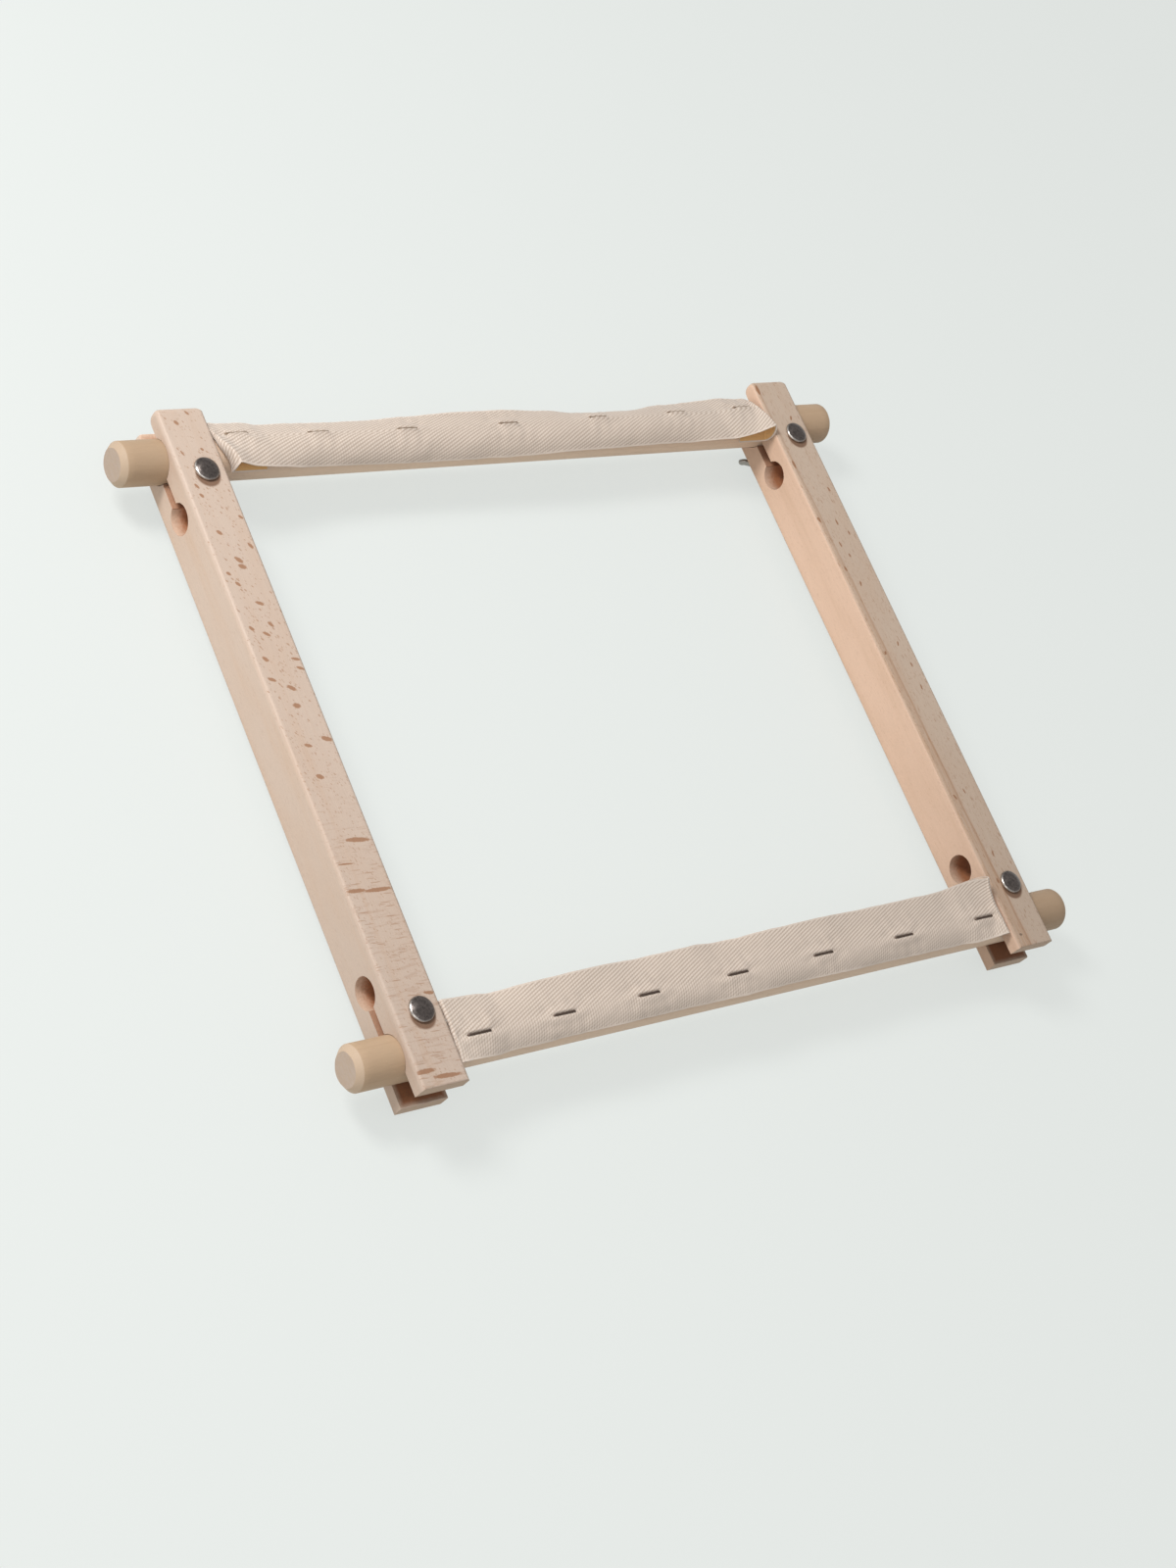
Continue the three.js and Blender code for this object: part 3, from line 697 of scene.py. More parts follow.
def twill(name, looks, tape):
    """Cotton twill. The mesh holds where each point was in the flat cloth, in millimetres."""
    recipe = Recipe(name)
    flat = recipe.node("Attribute", {"attribute_name": "thread"})
    along, across, face = recipe.axes(recipe.take(flat, 1))
    waver = recipe.mottle(along * 0.1, across * 0.1, 1.0, 2.0) * 1.4
    rib_along, rib_across = tape["rib"]
    rib_turns = (along * rib_along + across * rib_across) * 2 * math.pi + waver
    rib = recipe.sine(rib_turns) * 0.5 + 0.5
    # beads sit along each rib, stepped from one rib to the next
    bead_along, bead_across = tape["bead"]
    bead_turns = (along * bead_along + across * bead_across) * 2 * math.pi - waver
    bead = recipe.sine(bead_turns) * 0.5 + 0.5
    patchy = recipe.mottle(along * 0.03, across * 0.05, 8.0, 2.0)
    left, right = tape["beady"]
    beady = (left + right) / 2 + along * ((right - left) / TAPE_LENGTH)
    beady = beady + recipe.smooth(patchy, 0.4, 0.62) * 0.12
    dotted = recipe.smooth(across, tape["dotted_from"], tape["dotted_to"])
    ribbed = rib * (1 - beady + beady * bead)
    speckled = rib * 0.25 + bead * 0.35 + rib * bead * 0.4
    past_middle = abs(across - (TAPE_WIDTH / 2 - TAPE_OUTER))
    selvedge = recipe.smooth(past_middle, TAPE_WIDTH / 2 - 0.9, TAPE_WIDTH / 2 - 0.45)
    weave = ribbed * (1 - dotted) + speckled * dotted
    weave = weave * (1 - selvedge) + 0.6 * selvedge
    yarn = recipe.mottle(along * 1.3, across * 5, 0.0, 2.0)
    cloud = recipe.mottle(along * 0.05, across * 0.12, 3.0, 3.0)
    base = recipe.coated(
        paint(looks.crest),
        (recipe.smooth(weave, 0.8, 0.05), paint(looks.furrow)),
        (recipe.smooth(weave, 0.16, 0.0) * 0.42, paint(looks.pit)),
    )
    base = recipe.shaded(base, 0.93 + 0.08 * yarn + 0.08 * cloud)
    # painted bounce light: warm colour inside the hems
    hem_from = TAPE_LENGTH / 2 - HEM_LENGTH
    in_hem = recipe.smooth(face, -0.7, -0.95) * recipe.smooth(abs(along), hem_from - 8, hem_from - 2)
    base = recipe.blend(in_hem * (1 - selvedge), base, paint(looks.inside))
    height = weave + 0.3 * yarn
    return recipe.finish(
        base, 0.9, height, 0.00007, sheen_weight=0.2, sheen_roughness=0.5, specular_ior_level=0.2
    )


def bolt_metal(name, looks, middle_x, middle_y):
    """Dark polished steel with faint turning rings, a rubbed rim and a painted highlight on the rim's left
    side.
    """
    recipe = Recipe(name)
    x, y, z = recipe.position()
    out_x = x - middle_x
    out_y = y - middle_y
    out = (out_x * out_x + out_y * out_y) ** 0.5
    ring_pitch = 0.55
    rings = recipe.sine(out * (2 * math.pi / ring_pitch)) * 0.5 + 0.5
    scuffs_and_reflection = recipe.mottle(out_x * 0.9, out_y * 0.9, z * 0.9, 4.0, 0.6)
    rubbed = recipe.smooth(out, HEAD_RADIUS - 0.7, HEAD_RADIUS - 0.3)
    # painted highlight on the left side of the rim
    highlight_side = recipe.smooth(out_x * -0.95 + out_y * -0.3, 1.5, 4.5)
    rim = rubbed * (0.1 + 0.3 * scuffs_and_reflection + 0.55 * highlight_side)
    base = recipe.blend(rim, paint(looks.bolt), paint(looks.rim_and_highlight))
    # lighter blotches: scuffs and painted reflections
    base = recipe.shaded(base, 0.72 + 0.6 * recipe.smooth(scuffs_and_reflection, 0.3, 0.7) + 0.06 * rings)
    roughness = 0.2 + 0.2 * scuffs_and_reflection + 0.03 * rings
    return recipe.finish(base, roughness, rings * 0.5 + scuffs_and_reflection * 0.5, 0.00001, metallic=1.0)


def plated_metal(name, looks_colour, grain, rough):
    """Dull plated steel with a cast or drawn grain. Grain is blots to the millimetre."""
    recipe = Recipe(name)
    x, y, z = recipe.position()
    skin = recipe.mottle(x * grain, y * grain, z * grain, 4.0, 0.6)
    stain = recipe.mottle(x * 0.22, y * 0.22, z * 0.22 + 4, 3.0)
    base = recipe.shaded(paint(looks_colour), 0.78 + 0.25 * stain + 0.12 * skin)
    roughness = rough + 0.16 * stain + 0.08 * skin
    return recipe.finish(base, roughness, skin, 0.00002, metallic=1.0)


# Meshes


def settle(name, mesh, material, body, node):
    """Puts a finished mesh in the scene in place of its CAD node."""
    piece = bpy.data.objects.new(name, mesh)
    bpy.context.scene.collection.objects.link(piece)
    mesh.materials.clear()
    mesh.materials.append(material)
    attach(piece, body)
    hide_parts(node)
    return piece


def shell_of(node):
    """The CAD node's mesh with its triangles joined up into whole faces."""
    shell = bmesh.new()
    shell.from_mesh(bpy.data.objects[node].data)
    bmesh.ops.remove_doubles(shell, verts=shell.verts, dist=0.015 * MM)
    flat = math.radians(0.6)
    bmesh.ops.dissolve_limit(shell, angle_limit=flat, verts=shell.verts[:], edges=shell.edges[:])
    return shell


def softened(shell, arris):
    """Rounds the sharp edges of a shell."""
    sharp_from = math.radians(35)
    sharp = [
        edge for edge in shell.edges if len(edge.link_faces) == 2 and edge.calc_face_angle(0) > sharp_from
    ]
    settings = {"segments": 2, "profile": 0.5, "affect": "EDGES", "clamp_overlap": True}
    bmesh.ops.bevel(shell, geom=sharp, offset=arris, **settings)
    return shell


def mesh_of(shell, name):
    mesh = bpy.data.meshes.new(name)
    shell.to_mesh(mesh)
    shell.free()
    smoothed(mesh, 40)
    return mesh


def smoothed(mesh, angle):
    mesh.shade_smooth()
    mesh.set_sharp_from_angle(angle=math.radians(angle))


def closed_skin(mesh, angle):
    """Turns the faces of a closed mesh outwards and smooths it."""
    shell = bmesh.new()
    shell.from_mesh(mesh)
    bmesh.ops.recalc_face_normals(shell, faces=shell.faces[:])
    shell.to_mesh(mesh)
    shell.free()
    smoothed(mesh, angle)


def even_normals(piece):
    """Keeps the large flat faces flat beside their rounded edges."""
    modifier = piece.modifiers.new("Even normals", "WEIGHTED_NORMAL")
    modifier.keep_sharp = True


def ringed_mesh(name, rings, smooth_angle):
    """Skin over rings of points of the same count, with its first and last ring filled."""
    count = len(rings[0])
    points = [point * MM for ring in rings for point in ring]
    faces = []
    for row in range(len(rings) - 1):
        for i in range(count):
            a = row * count + i
            b = row * count + (i + 1) % count
            faces.append((a, b, b + count, a + count))
    faces.append(tuple(reversed(range(count))))
    faces.append(tuple(range((len(rings) - 1) * count, len(rings) * count)))
    mesh = bpy.data.meshes.new(name)
    mesh.from_pydata(points, [], faces)
    mesh.validate()
    closed_skin(mesh, smooth_angle)
    return mesh


def smoothstep(value, low, high):
    place = min(max((value - low) / (high - low), 0.0), 1.0)
    return place * place * (3 - 2 * place)


def mixed(first, second, amount):
    return first + (second - first) * amount


# Side bars


def wear_corners(shell, middle, corner):
    """Rounds the upright corners at the top end of a bar, as seen from above."""
    cuts = 5
    straight = BAR_WIDTH / 2 - corner
    for side in (-1, 1):
        for i in range(cuts):
            across = straight + corner * math.sin(math.pi / 2 * i / cuts)
            bmesh.ops.bisect_plane(
                shell,
                geom=shell.verts[:] + shell.edges[:] + shell.faces[:],
                plane_co=((middle + side * across) * MM, 0, 0),
                plane_no=(1, 0, 0),
            )
    for vertex in shell.verts:
        past = max(abs(vertex.co.x / MM - middle) - straight, 0.0)
        inset = corner - math.sqrt(max(corner**2 - past**2, 0.0))
        near_end = smoothstep(vertex.co.y / MM, BAR_LENGTH / 2 - 9.5, BAR_LENGTH / 2 - 2.5)
        vertex.co.y -= inset * near_end * MM


class FRAME_OT_side_bars(bpy.types.Operator):
    """Makes the two beech bars with softened edges and beech grain"""

    bl_idname = "embroidery.side_bars"
    bl_label = "Side bars"

    def execute(self, context):
        looks = context.scene.embroidery_frame.beech
        for side in ("left", "right"):
            node = f"{side}_side_bar"
            shell = shell_of(node)
            wear_corners(shell, LEFT_BAR_X if side == "left" else RIGHT_BAR_X, looks.corner / MM)
            shell = softened(shell, looks.arris)
            mesh = mesh_of(shell, f"{side}_bar_beech")
            material = beech(f"{side}_bar_beech", looks, side)
            piece = settle(f"{side}_bar_beech", mesh, material, f"{side}_bar", node)
            even_normals(piece)
        return {"FINISHED"}


# Rollers


def roller_mesh(name, side, seed):
    """A dowel along X whose ends have a chamfer cut by hand."""
    sides = 96
    half = ROLLER_LENGTH / 2
    shoulder = half - ROLLER_CHAMFER
    rings = []

    def ring(x, radius_at):
        points = []
        for i in range(sides):
            angle = 2 * math.pi * i / sides
            y = side * ROLLER_Y + radius_at(angle) * math.cos(angle)
            z = BAR_MIDDLE_Z + radius_at(angle) * math.sin(angle)
            points.append(Vector((x, y, z)))
        return points

    def nose(angle, end):
        """Radius of the flat end, inside a chamfer whose depth varies round it."""
        spot = Vector((math.cos(angle) * 1.7, math.sin(angle) * 1.7, seed + end * 3))
        return ROLLER_RADIUS - ROLLER_CHAMFER * (1 + 0.13 * noise.noise(spot))

    def turned_radius(x, angle):
        spot = Vector((x * 0.01, math.cos(angle) * 0.8, math.sin(angle) * 0.8 + seed))
        return ROLLER_RADIUS * (0.998 + 0.002 * noise.noise(spot))

    # the first five rings of each end round the arrises of its chamfer
    for end in (-1, 1):
        inner = [end * (half - 6 - 17 * i) for i in range(12)]
        rows = [
            ring(end * half, lambda angle: 0.92 * nose(angle, end)),
            ring(end * half, lambda angle: nose(angle, end) - 0.12),
            ring(end * (half - 0.1), lambda angle: nose(angle, end) + 0.03),
            ring(end * (shoulder + 0.16), lambda angle: ROLLER_RADIUS - 0.17),
            ring(end * (shoulder - 0.16), lambda angle: ROLLER_RADIUS - 0.02),
            *[ring(x, lambda angle, x=x: turned_radius(x, angle)) for x in inner],
        ]
        rings += rows if end < 0 else list(reversed(rows))
    return ringed_mesh(name, rings, 30)


class FRAME_OT_rollers(bpy.types.Operator):
    """Makes the two wooden rollers"""

    bl_idname = "embroidery.rollers"
    bl_label = "Rollers"

    def execute(self, context):
        looks = context.scene.embroidery_frame.dowel
        for end, tape in TAPES.items():
            seed = 11.0 + tape["side"] * 4
            mesh = roller_mesh(f"{end}_dowel", tape["side"], seed)
            material = dowel_wood(f"{end}_dowel_wood", looks, seed, DOWEL_TONES[end])
            body = f"{end}_roller_with_tape"
            settle(f"{end}_dowel", mesh, material, body, f"{end}_roller")
        return {"FINISHED"}


# Twill tapes


def eased(values, place):
    """A value read from an even list at place, from 0 to 1, eased between its entries."""
    spot = min(max(place, 0.0), 1.0) * (len(values) - 1)
    i = min(int(spot), len(values) - 2)
    return mixed(values[i], values[i + 1], smoothstep(spot - i, 0, 1))


def line_angle(tape, x):
    reach = TAPE_LENGTH / 2 - STAPLE_INSET
    return math.radians(eased(tape["line"], x / (2 * reach) + 0.5))


def staple_places(tape):
    reach = TAPE_LENGTH / 2 - STAPLE_INSET
    spacing = 2 * reach / (STAPLE_COUNT - 1)
    return [-reach + spacing * (i + tape["wander"][i]) for i in range(STAPLE_COUNT)]


def end_at(tape, side, s):
    """Distance from the middle of the tape to the fold at one end, at s across the tape."""
    outer, inner = tape["trim"][0 if side < 0 else 1]
    return TAPE_LENGTH / 2 - mixed(outer, inner, smoothstep(s, *tape["cut"]))


def lay_height(tape, x, s):
    """Height of the middle of the tape over the roller, as in the CAD frame."""
    end = 0 if x < 0 else 1
    from_end = end_at(tape, x, s) - abs(x)
    open_share = mixed(tape["press"][end], 1, smoothstep(s, -TAPE_OUTER, TAPE_WIDTH - TAPE_OUTER - 4))
    puff = (tape["puff"][end] - 1) * LAYER_STEP * open_share
    over_hem = 1 - smoothstep(from_end, HEM_LENGTH, HEM_LENGTH + HEM_RELEASE)
    held = (STAPLE_INSET - CROWN_LENGTH / 2) * PUFF_HOLD
    puff_reach = mixed(held, HEM_LENGTH, abs(s) / TAPE_WIDTH)
    near_fold = 1 - smoothstep(from_end, 0, puff_reach)
    return TAPE_HEIGHT + LAYER_STEP * over_hem + puff * near_fold


def hump(off, width):
    """A soft rise that is 1 at the middle and almost gone at twice its width."""
    return math.exp(-((off / width) ** 2))


def pucker(tape, places, x, s):
    """How far the cloth stands over its plain lie: sunk under the staples, gathered beside them."""
    rise = 0.0
    half = tape["slit"] / 2
    lip = tape["lip"][0 if s < 0 else 1]
    puckers_end = 22
    for place in places:
        off = abs(x - place)
        if off > puckers_end:
            continue
        under = 1 - smoothstep(off, half - 0.2, half + 0.8)
        beside = 1 - smoothstep(off, half - 1.5, half + 3.0)
        rise -= 0.3 * under * hump(s, 0.6)
        rise += lip * under * hump(abs(s) - 1.15, 0.55)
        rise += 0.5 * beside * hump(abs(s) - 2.2, 1.3)
        tail = hump(off - half - 3.0, 3.5) * hump(s, 5.5)
        rise += 0.3 * tail * math.cos(0.9 * s + 0.7 * place)
        pull = hump(off - half, 7) * smoothstep(abs(s), 2.5, 5) * hump(s, 9)
        rise += 0.22 * pull * math.cos(0.95 * (x - place) + 0.35 * s + place)
    gentle = noise.noise(Vector((x * 0.07, s * 0.11, tape["side"] * 3.0)))
    fine = noise.noise(Vector((x * 0.22, s * 0.3, 9.0 + tape["side"])))
    inner = TAPE_WIDTH - TAPE_OUTER
    edge = max(smoothstep(s, inner - 1.6, inner), smoothstep(-s, TAPE_OUTER - 1.6, TAPE_OUTER))
    return rise + 0.34 * gentle * smoothstep(abs(s), 1, 6) + 0.12 * fine + 0.08 * edge


def cloth_point(tape, x, s, height, layer, shift):
    """A point of the tape in the CAD frame, in mm. Layer is 0 for a hem's under side and 1 over it."""
    angle = line_angle(tape, x)
    curl = eased(tape["outer_curl"] if s < 0 else tape["inner_curl"], x / TAPE_LENGTH + 0.5)
    end = 0 if x < 0 else 1
    if s > 0:
        curl = mixed(tape["hem_curl"][end], curl, layer)
        s *= 1 + tape["flare"][end] * smoothstep(abs(x), TAPE_LENGTH / 2 - 36, TAPE_LENGTH / 2 - 4)
    s += tape["skew"][end] * (1 - layer)
    radius = ROLLER_RADIUS + TAPE_HEIGHT
    bend = curl * s / radius
    straight = abs(curl) < 1e-3
    run = s if straight else radius / curl * math.sin(bend)
    drop = 0.0 if straight else radius / curl * (1 - math.cos(bend))
    over = height - TAPE_HEIGHT
    out = radius - drop + over * math.cos(bend)
    forward = run + over * math.sin(bend)
    side = tape["side"]
    y = side * ROLLER_Y + out * math.cos(angle) - side * forward * math.sin(angle)
    z = BAR_MIDDLE_Z + out * math.sin(angle) + side * forward * math.cos(angle)
    return Vector((x + shift + BARS_SHIFT, y, z))


def cloth_path(tape, places, s):
    """The line that the middle of the tape follows at s across it, as (x, height, layer)."""
    fold_steps = 10

    def height_at(x):
        from_end = end_at(tape, x, s) - abs(x)
        return lay_height(tape, x, s) + pucker(tape, places, x, s) * smoothstep(from_end, 0.2, 3.0)

    def fold(side):
        end = end_at(tape, side, s) - 0.4
        rise = (lay_height(tape, side * (end + 0.4), s) - TAPE_HEIGHT) / 2
        sag = 0.5 * noise.noise(Vector((s * 0.25, side * 5.0, tape["side"])))
        points = []
        for i in range(fold_steps + 1):
            angle = math.pi * (i / fold_steps - 0.5)
            over = math.sin(angle)
            x = end - rise + (rise + sag * math.cos(angle)) * math.cos(angle)
            points.append((side * x, TAPE_HEIGHT + rise * (1 + over), (1 + over) / 2))
        return points

    def under(side):
        end = end_at(tape, side, s)
        steps = 14
        rows = [mixed(end - HEM_LENGTH, end - 2.4, i / steps) for i in range(steps)]
        return [(side * x, TAPE_HEIGHT, 0.0) for x in rows]

    left = fold(-1)
    right = list(reversed(fold(1)))
    start = left[-1][0]
    stop = right[0][0]
    hem_reach = HEM_LENGTH + HEM_RELEASE
    hem_steps = 30
    over_hem = [hem_reach * ((i + 1) / hem_steps) ** 1.25 for i in range(hem_steps)]
    open_steps = 200
    top = [start + run for run in over_hem]
    top += [mixed(start + hem_reach, stop - hem_reach, i / open_steps) for i in range(1, open_steps)]
    top += [stop - run for run in reversed(over_hem)]
    return under(-1) + left + [(x, height_at(x), 1.0) for x in top] + right + under(1)[::-1]


def run_along(path):
    """How far along the cloth each point of a path lies from the middle of the tape."""
    lengths = [0.0]
    for before, after in zip(path, path[1:]):
        lengths.append(lengths[-1] + math.hypot(after[0] - before[0], after[1] - before[1]))
    return [length - lengths[len(path) // 2] for length in lengths]


def tape_mesh(name, tape, thickness):
    """The tape as a thin strip with its hems turned under, with its flat place kept at each point."""
    inner = TAPE_WIDTH - TAPE_OUTER
    groove = [0.0, 0.3, 0.55, 0.8, 1.1, 1.4, 1.8, 2.3, 2.9]
    outwards = groove + [mixed(groove[-1], TAPE_OUTER, i / 9) for i in range(1, 10)]
    inwards = groove + [mixed(groove[-1], inner, i / 17) for i in range(1, 18)]
    across = [-s for s in reversed(outwards)][:-1] + inwards
    places = staple_places(tape)
    paths = [cloth_path(tape, places, s) for s in across]
    rows = len(paths[0])
    columns = len(across)
    points = []
    flat = []
    for face in (1, -1):
        for column, path in enumerate(paths):
            s = across[column]
            lengths = run_along(path)
            for i, (x, height, layer) in enumerate(path):
                before = path[max(i - 1, 0)]
                after = path[min(i + 1, rows - 1)]
                step_x = after[0] - before[0]
                step_up = after[1] - before[1]
                off = thickness / 2 * face / math.hypot(step_x, step_up)
                off_x = -step_up * off
                off_height = step_x * off
                edge_wave = 0.0
                if column in (0, columns - 1):
                    edge_wave = 0.25 * noise.noise(Vector((x * 0.12, s, 2.0)))
                point = cloth_point(tape, x, s + edge_wave, height + off_height, layer, off_x)
                points.append(point * MM)
                flat.extend((lengths[i], s, face))
    faces = []

    def at(face, row, column):
        return face * rows * columns + column * rows + row

    for row in range(rows - 1):
        for column in range(columns - 1):
            beside = column + 1
            for face in (0, 1):
                corners = [(row, column), (row + 1, column), (row + 1, beside), (row, beside)]
                faces.append(tuple(at(face, *corner) for corner in corners))
        for column in (0, columns - 1):
            low = [at(face, row, column) for face in (0, 1)]
            high = [at(face, row + 1, column) for face in (1, 0)]
            faces.append(tuple(low + high))
    for column in range(columns - 1):
        for row in (0, rows - 1):
            near = [at(face, row, column) for face in (0, 1)]
            far = [at(face, row, column + 1) for face in (1, 0)]
            faces.append(tuple(near + far))
    mesh = bpy.data.meshes.new(name)
    mesh.from_pydata(points, [], faces)
    place = mesh.attributes.new("thread", "FLOAT_VECTOR", "POINT")
    place.data.foreach_set("vector", flat)
    closed_skin(mesh, 55)
    return mesh


class FRAME_OT_tapes(bpy.types.Operator):
    """Makes the two strips of twill tape with their hems and puckers"""

    bl_idname = "embroidery.tapes"
    bl_label = "Twill tapes"

    def execute(self, context):
        looks = context.scene.embroidery_frame.twill
        for end, tape in TAPES.items():
            mesh = tape_mesh(f"{end}_twill", tape, looks.thickness / MM)
            material = twill(f"{end}_twill", looks, tape)
            body = f"{end}_roller_with_tape"
            piece = settle(f"{end}_twill", mesh, material, body, f"{end}_tape")
        return {"FINISHED"}


def pressed_in(tape, number):
    """The way that a staple has sunk into the cloth, towards the middle of its roller."""
    angle = line_angle(tape, staple_places(tape)[number - 1])
    return Vector((0, -tape["side"] * math.cos(angle), -math.sin(angle))) * tape["sink"] * MM


class FRAME_OT_staples(bpy.types.Operator):
    """Makes the fourteen wire staples"""

    bl_idname = "embroidery.staples"
    bl_label = "Staples"

    def execute(self, context):
        looks = context.scene.embroidery_frame.steel
        wires = {
            "bottom": plated_metal("bottom_staple_wire", looks.staple, 1.5, 0.4),
            "top": plated_metal("top_staple_wire", looks.worn_staple, 1.5, 0.5),
        }
        for end in TAPES:
            for number in range(1, STAPLE_COUNT + 1):
                node = f"{end}_staple_{number}"
                shell = softened(shell_of(node), 0.16 * MM)
                press = pressed_in(TAPES[end], number)
                bmesh.ops.translate(shell, verts=shell.verts[:], vec=press)
                mesh = mesh_of(shell, f"{end}_wire_{number}")
                body = f"{end}_roller_with_tape"
                settle(f"{end}_wire_{number}", mesh, wires[end], body, node)
        return {"FINISHED"}


# Clamp fittings


def clamp_middle(end, side):
    x = (LEFT_BAR_X if side == "left" else RIGHT_BAR_X) + BOLT_SHIFT
    return x, BOLT_Y if end == "top" else -BOLT_Y


def bolt_mesh(name, x, y, pitch, turn):
    """Carriage bolt: chamfered tip, rolled thread, plain shank, square neck and domed head."""
    sides = 48
    thread_top = 20.0
    thread_depth = 0.45
    thread_fade = 1.5

    def ring(z, radius_at):
        points = []
        for i in range(sides):
            angle = 2 * math.pi * i / sides
            radius = radius_at(angle)
            points.append(Vector((x + radius * math.cos(angle), y + radius * math.sin(angle), z)))
        return points

    def thread(z, angle):
        turns = z / pitch - (angle + turn) / (2 * math.pi)
        ridge = abs(2 * (turns - math.floor(turns)) - 1)
        fade = 1 - smoothstep(z, thread_top - thread_fade, thread_top)
        start = smoothstep(z, 0.0, BOLT_TIP_CHAMFER)
        depth = thread_depth * (1 - smoothstep(ridge, 0.12, 0.88)) * fade
        limit = BOLT_RADIUS - BOLT_TIP_CHAMFER * (1 - start)
        return min(BOLT_RADIUS - depth, limit)

    def square(angle):
        half = NECK_SIDE / 2
        flat_out = half / max(abs(math.cos(angle)), abs(math.sin(angle)))
        return min(flat_out, half * 1.3)

    rings = [ring(0.0, lambda angle: BOLT_RADIUS - BOLT_TIP_CHAMFER - 0.3)]
    steps = int(thread_top / (pitch / 6))
    for i in range(1, steps + 1):
        z = thread_top * i / steps
        rings.append(ring(z, lambda angle, z=z: thread(z, angle)))
    neck_low = BOLT_LENGTH - NECK_DEPTH
    rings.append(ring(neck_low - 0.3, lambda angle: BOLT_RADIUS))
    rings.append(ring(neck_low, square))
    rings.append(ring(BOLT_LENGTH, square))
    for rise, out in head_profile():
        rings.append(ring(BOLT_LENGTH + rise, lambda angle, out=out: out))
    return ringed_mesh(name, rings, 50)


def head_profile():
    """Rise over the bar and radius along a bolt's head: a flat dome with a tightly rounded edge."""
    dome = HEAD_HEIGHT - HEAD_RIM
    flat_radius = 9.8
    flat_reach = 4.9
    flat_rise = flat_radius - math.sqrt(flat_radius**2 - flat_reach**2)
    profile = [
        (0.0, HEAD_RADIUS - 0.25),
        (0.08, HEAD_RADIUS - 0.06),
        (0.25, HEAD_RADIUS),
        (HEAD_RIM - 0.05, HEAD_RADIUS - 0.04),
    ]
    edge_steps = 6
    edge_from = 0.779
    edge_out = (HEAD_RADIUS - flat_reach) / (1 - edge_from)
    edge_rise = (dome - flat_rise) / math.sqrt(1 - edge_from**2)
    for i in range(1, edge_steps + 1):
        sine = 1 - (1 - edge_from) * (i / edge_steps) ** 2
        rise = HEAD_RIM + edge_rise * math.sqrt(1 - sine**2)
        profile.append((rise, HEAD_RADIUS - edge_out * (1 - sine)))
    dome_steps = 12
    for i in range(1, dome_steps + 1):
        out = flat_reach * (1 - 0.97 * i / dome_steps)
        profile.append((HEAD_HEIGHT - flat_radius + math.sqrt(flat_radius**2 - out**2), out))
    return profile


class FRAME_OT_carriage_bolts(bpy.types.Operator):
    """Makes the four carriage bolts with rolled threads"""

    bl_idname = "embroidery.carriage_bolts"
    bl_label = "Carriage bolts"

    def execute(self, context):
        looks = context.scene.embroidery_frame.steel
        pitch = looks.thread_pitch / MM
        for number, (end, side) in enumerate(CORNERS):
            x, y = clamp_middle(end, side)
            node = f"{end}_{side}_carriage_bolt"
            mesh = bolt_mesh(f"{end}_{side}_bolt", x, y, pitch, number * 1.3)
            material = bolt_metal(f"{end}_{side}_bolt_steel", looks, x, y)
            settle(f"{end}_{side}_bolt", mesh, material, f"{side}_bar", node)
        return {"FINISHED"}


class FRAME_OT_washers(bpy.types.Operator):
    """Makes the four flat washers"""

    bl_idname = "embroidery.washers"
    bl_label = "Washers"

    def execute(self, context):
        looks = context.scene.embroidery_frame.steel
        material = plated_metal("washer_zinc", looks.zinc, 0.8, 0.3)
        for end, side in CORNERS:
            node = f"{end}_{side}_washer"
            mesh = mesh_of(softened(shell_of(node), 0.14 * MM), f"{end}_{side}_flat_washer")
            body = f"{end}_{side}_washer_on_bolt"
            piece = settle(f"{end}_{side}_flat_washer", mesh, material, body, node)
            even_normals(piece)
        return {"FINISHED"}


class FRAME_OT_wing_nuts(bpy.types.Operator):
    """Makes the four wing nuts, with the soft corners of a casting"""

    bl_idname = "embroidery.wing_nuts"
    bl_label = "Wing nuts"

    def execute(self, context):
        looks = context.scene.embroidery_frame.steel
        material = plated_metal("wing_nut_zinc", looks.zinc, 1.2, 0.34)
        for end, side in CORNERS:
            node = f"{end}_{side}_wing_nut"
            mesh = cast_mesh(node, f"{end}_{side}_wings", 0.26 * MM, 5)
            body = f"{end}_{side}_nut_on_bolt"
            settle(f"{end}_{side}_wings", mesh, material, body, node)
        return {"FINISHED"}


def cast_mesh(node, name, grid, rounds):
    """The CAD node's form with all its corners run into each other, as in a casting."""
    rough = bpy.data.meshes.new(name + "_rough")
    shell = shell_of(node)
    bmesh.ops.triangulate(shell, faces=shell.faces[:])
    shell.to_mesh(rough)
    shell.free()
    pattern = bpy.data.objects.new(name + "_pattern", rough)
    bpy.context.scene.collection.objects.link(pattern)
    remesh = pattern.modifiers.new("Grid", "REMESH")
    remesh.mode = "VOXEL"
    remesh.voxel_size = grid
    relax = pattern.modifiers.new("Relax", "SMOOTH")
    relax.factor = 0.5
    relax.iterations = rounds
    view = bpy.context.evaluated_depsgraph_get()
    mesh = bpy.data.meshes.new_from_object(pattern.evaluated_get(view))
    mesh.name = name
    bpy.data.objects.remove(pattern)
    bpy.data.meshes.remove(rough)
    mesh.shade_smooth()
    return mesh


# Stage


class FRAME_OT_stage(bpy.types.Operator):
    """Makes the pale floor, the soft light and the camera"""

    bl_idname = "embroidery.stage"
    bl_label = "Floor, light and camera"

    def execute(self, context):
        looks = context.scene.embroidery_frame.stage
        lay_floor(looks)
        set_lights(looks)
        set_camera()
        context.scene.view_settings.view_transform = "Standard"
        return {"FINISHED"}


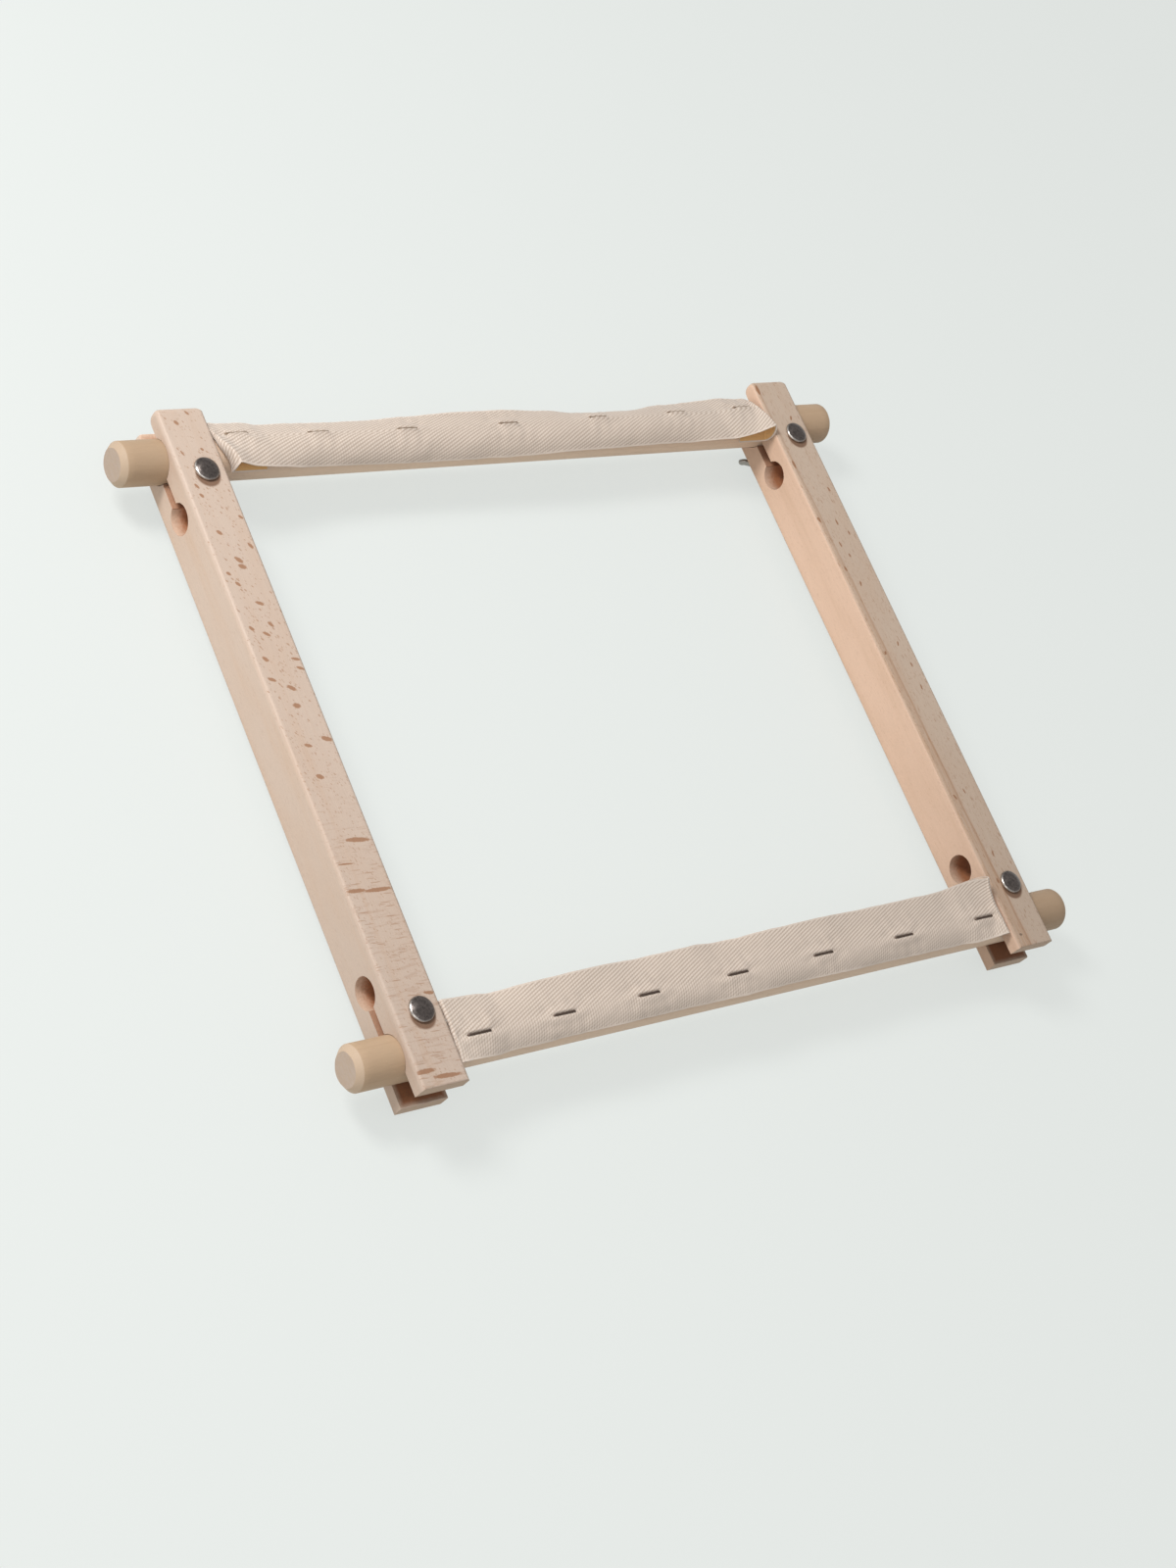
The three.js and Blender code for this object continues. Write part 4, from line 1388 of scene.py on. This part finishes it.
def lay_floor(looks):
    mesh = bpy.data.meshes.new("floor")
    half = 6.0
    corners = [(-half, -half, 0), (half, -half, 0), (half, half, 0), (-half, half, 0)]
    mesh.from_pydata(corners, [], [(0, 1, 2, 3)])
    floor = bpy.data.objects.new("floor", mesh)
    bpy.context.scene.collection.objects.link(floor)
    floor.location.z = -0.0002
    recipe = Recipe("pale_floor")
    pale = paint(looks.floor)
    lit = recipe.node("BsdfDiffuse", None, {"Color": pale})
    plain = recipe.node("Emission", None, {"Color": pale, "Strength": 1.0})
    ray = recipe.node("LightPath")
    seen = recipe.greatest(recipe.take(ray, "Is Camera Ray"), recipe.take(ray, "Is Glossy Ray"))
    mix = recipe.node("MixShader", None, {0: seen * 0.78, 1: recipe.take(lit), 2: recipe.take(plain)})
    recipe.node("OutputMaterial", None, {"Surface": recipe.take(mix)})
    mesh.materials.append(recipe.material)


def lamp(name, power, width, place, target):
    data = bpy.data.lights.new(name, "AREA")
    data.energy = power
    data.size = width
    lamp_object = bpy.data.objects.new(name, data)
    lamp_object.location = place
    aim = Vector(target) - Vector(place)
    lamp_object.rotation_euler = aim.to_track_quat("-Z", "Y").to_euler()
    bpy.context.scene.collection.objects.link(lamp_object)


def set_lights(looks):
    lamp("key_lamp", looks.key, 0.32, (-0.75, 0.5, 0.85), (0, 0, 0.02))
    lamp("fill_lamp", looks.fill, 1.0, (-0.9, -0.5, 0.9), (0, 0, 0.02))
    world = bpy.data.worlds.new("studio")
    bpy.context.scene.world = world
    world.use_nodes = True
    nodes = world.node_tree.nodes
    links = world.node_tree.links
    sky = nodes["Background"]
    sky.inputs["Color"].default_value = (1.0, 1.0, 1.0, 1.0)
    sky.inputs["Strength"].default_value = looks.sky
    # past the floor the eye sees the floor's own colour
    wall = nodes.new("ShaderNodeBackground")
    wall.inputs["Color"].default_value = paint(looks.floor)
    ray = nodes.new("ShaderNodeLightPath")
    mix = nodes.new("ShaderNodeMixShader")
    links.new(ray.outputs["Is Camera Ray"], mix.inputs[0])
    links.new(sky.outputs[0], mix.inputs[1])
    links.new(wall.outputs[0], mix.inputs[2])
    links.new(mix.outputs[0], nodes["World Output"].inputs["Surface"])


def set_camera():
    data = bpy.data.cameras.new("camera")
    data.sensor_width = 36.0
    data.lens = 61.78
    data.clip_start = 0.01
    camera = bpy.data.objects.new("camera", data)
    right = Vector((0.77863, -0.37702, 0.50158))
    up = Vector((0.12504, 0.87656, 0.46477))
    back = Vector((-0.61490, -0.29917, 0.72966))
    turn = Matrix((right, up, back)).transposed().to_4x4()
    camera.matrix_world = Matrix.Translation((-0.72986, -0.37518, 0.84858)) @ turn
    bpy.context.scene.collection.objects.link(camera)
    bpy.context.scene.camera = camera


# Add-on

OPERATORS = [
    FRAME_OT_stage,
    FRAME_OT_side_bars,
    FRAME_OT_rollers,
    FRAME_OT_tapes,
    FRAME_OT_staples,
    FRAME_OT_carriage_bolts,
    FRAME_OT_washers,
    FRAME_OT_wing_nuts,
]


class FRAME_PT_sidebar(bpy.types.Panel):
    """Settings and steps of the embroidery frame"""

    bl_idname = "FRAME_PT_sidebar"
    bl_label = "Embroidery frame"
    bl_space_type = "VIEW_3D"
    bl_region_type = "UI"
    bl_category = "Embroidery frame"

    def draw(self, context):
        looks = context.scene.embroidery_frame
        for group in (looks.beech, looks.dowel, looks.twill, looks.steel, looks.stage):
            box = self.layout.box()
            for name in group.bl_rna.properties.keys():
                if name not in ("rna_type", "name"):
                    box.prop(group, name)
        for operator in OPERATORS:
            self.layout.operator(operator.bl_idname)


CLASSES = [
    BeechLooks,
    DowelLooks,
    TwillLooks,
    SteelLooks,
    StageLooks,
    FrameLooks,
    *OPERATORS,
    FRAME_PT_sidebar,
]


def register():
    for entry in CLASSES:
        bpy.utils.register_class(entry)
    bpy.types.Scene.embroidery_frame = PointerProperty(type=FrameLooks)


def unregister():
    del bpy.types.Scene.embroidery_frame
    for entry in reversed(CLASSES):
        bpy.utils.unregister_class(entry)


def main():
    register()
    bpy.ops.embroidery.stage()
    bpy.ops.embroidery.side_bars()
    bpy.ops.embroidery.rollers()
    bpy.ops.embroidery.tapes()
    bpy.ops.embroidery.staples()
    bpy.ops.embroidery.carriage_bolts()
    bpy.ops.embroidery.washers()
    bpy.ops.embroidery.wing_nuts()


if __name__ == "__main__":
    main()
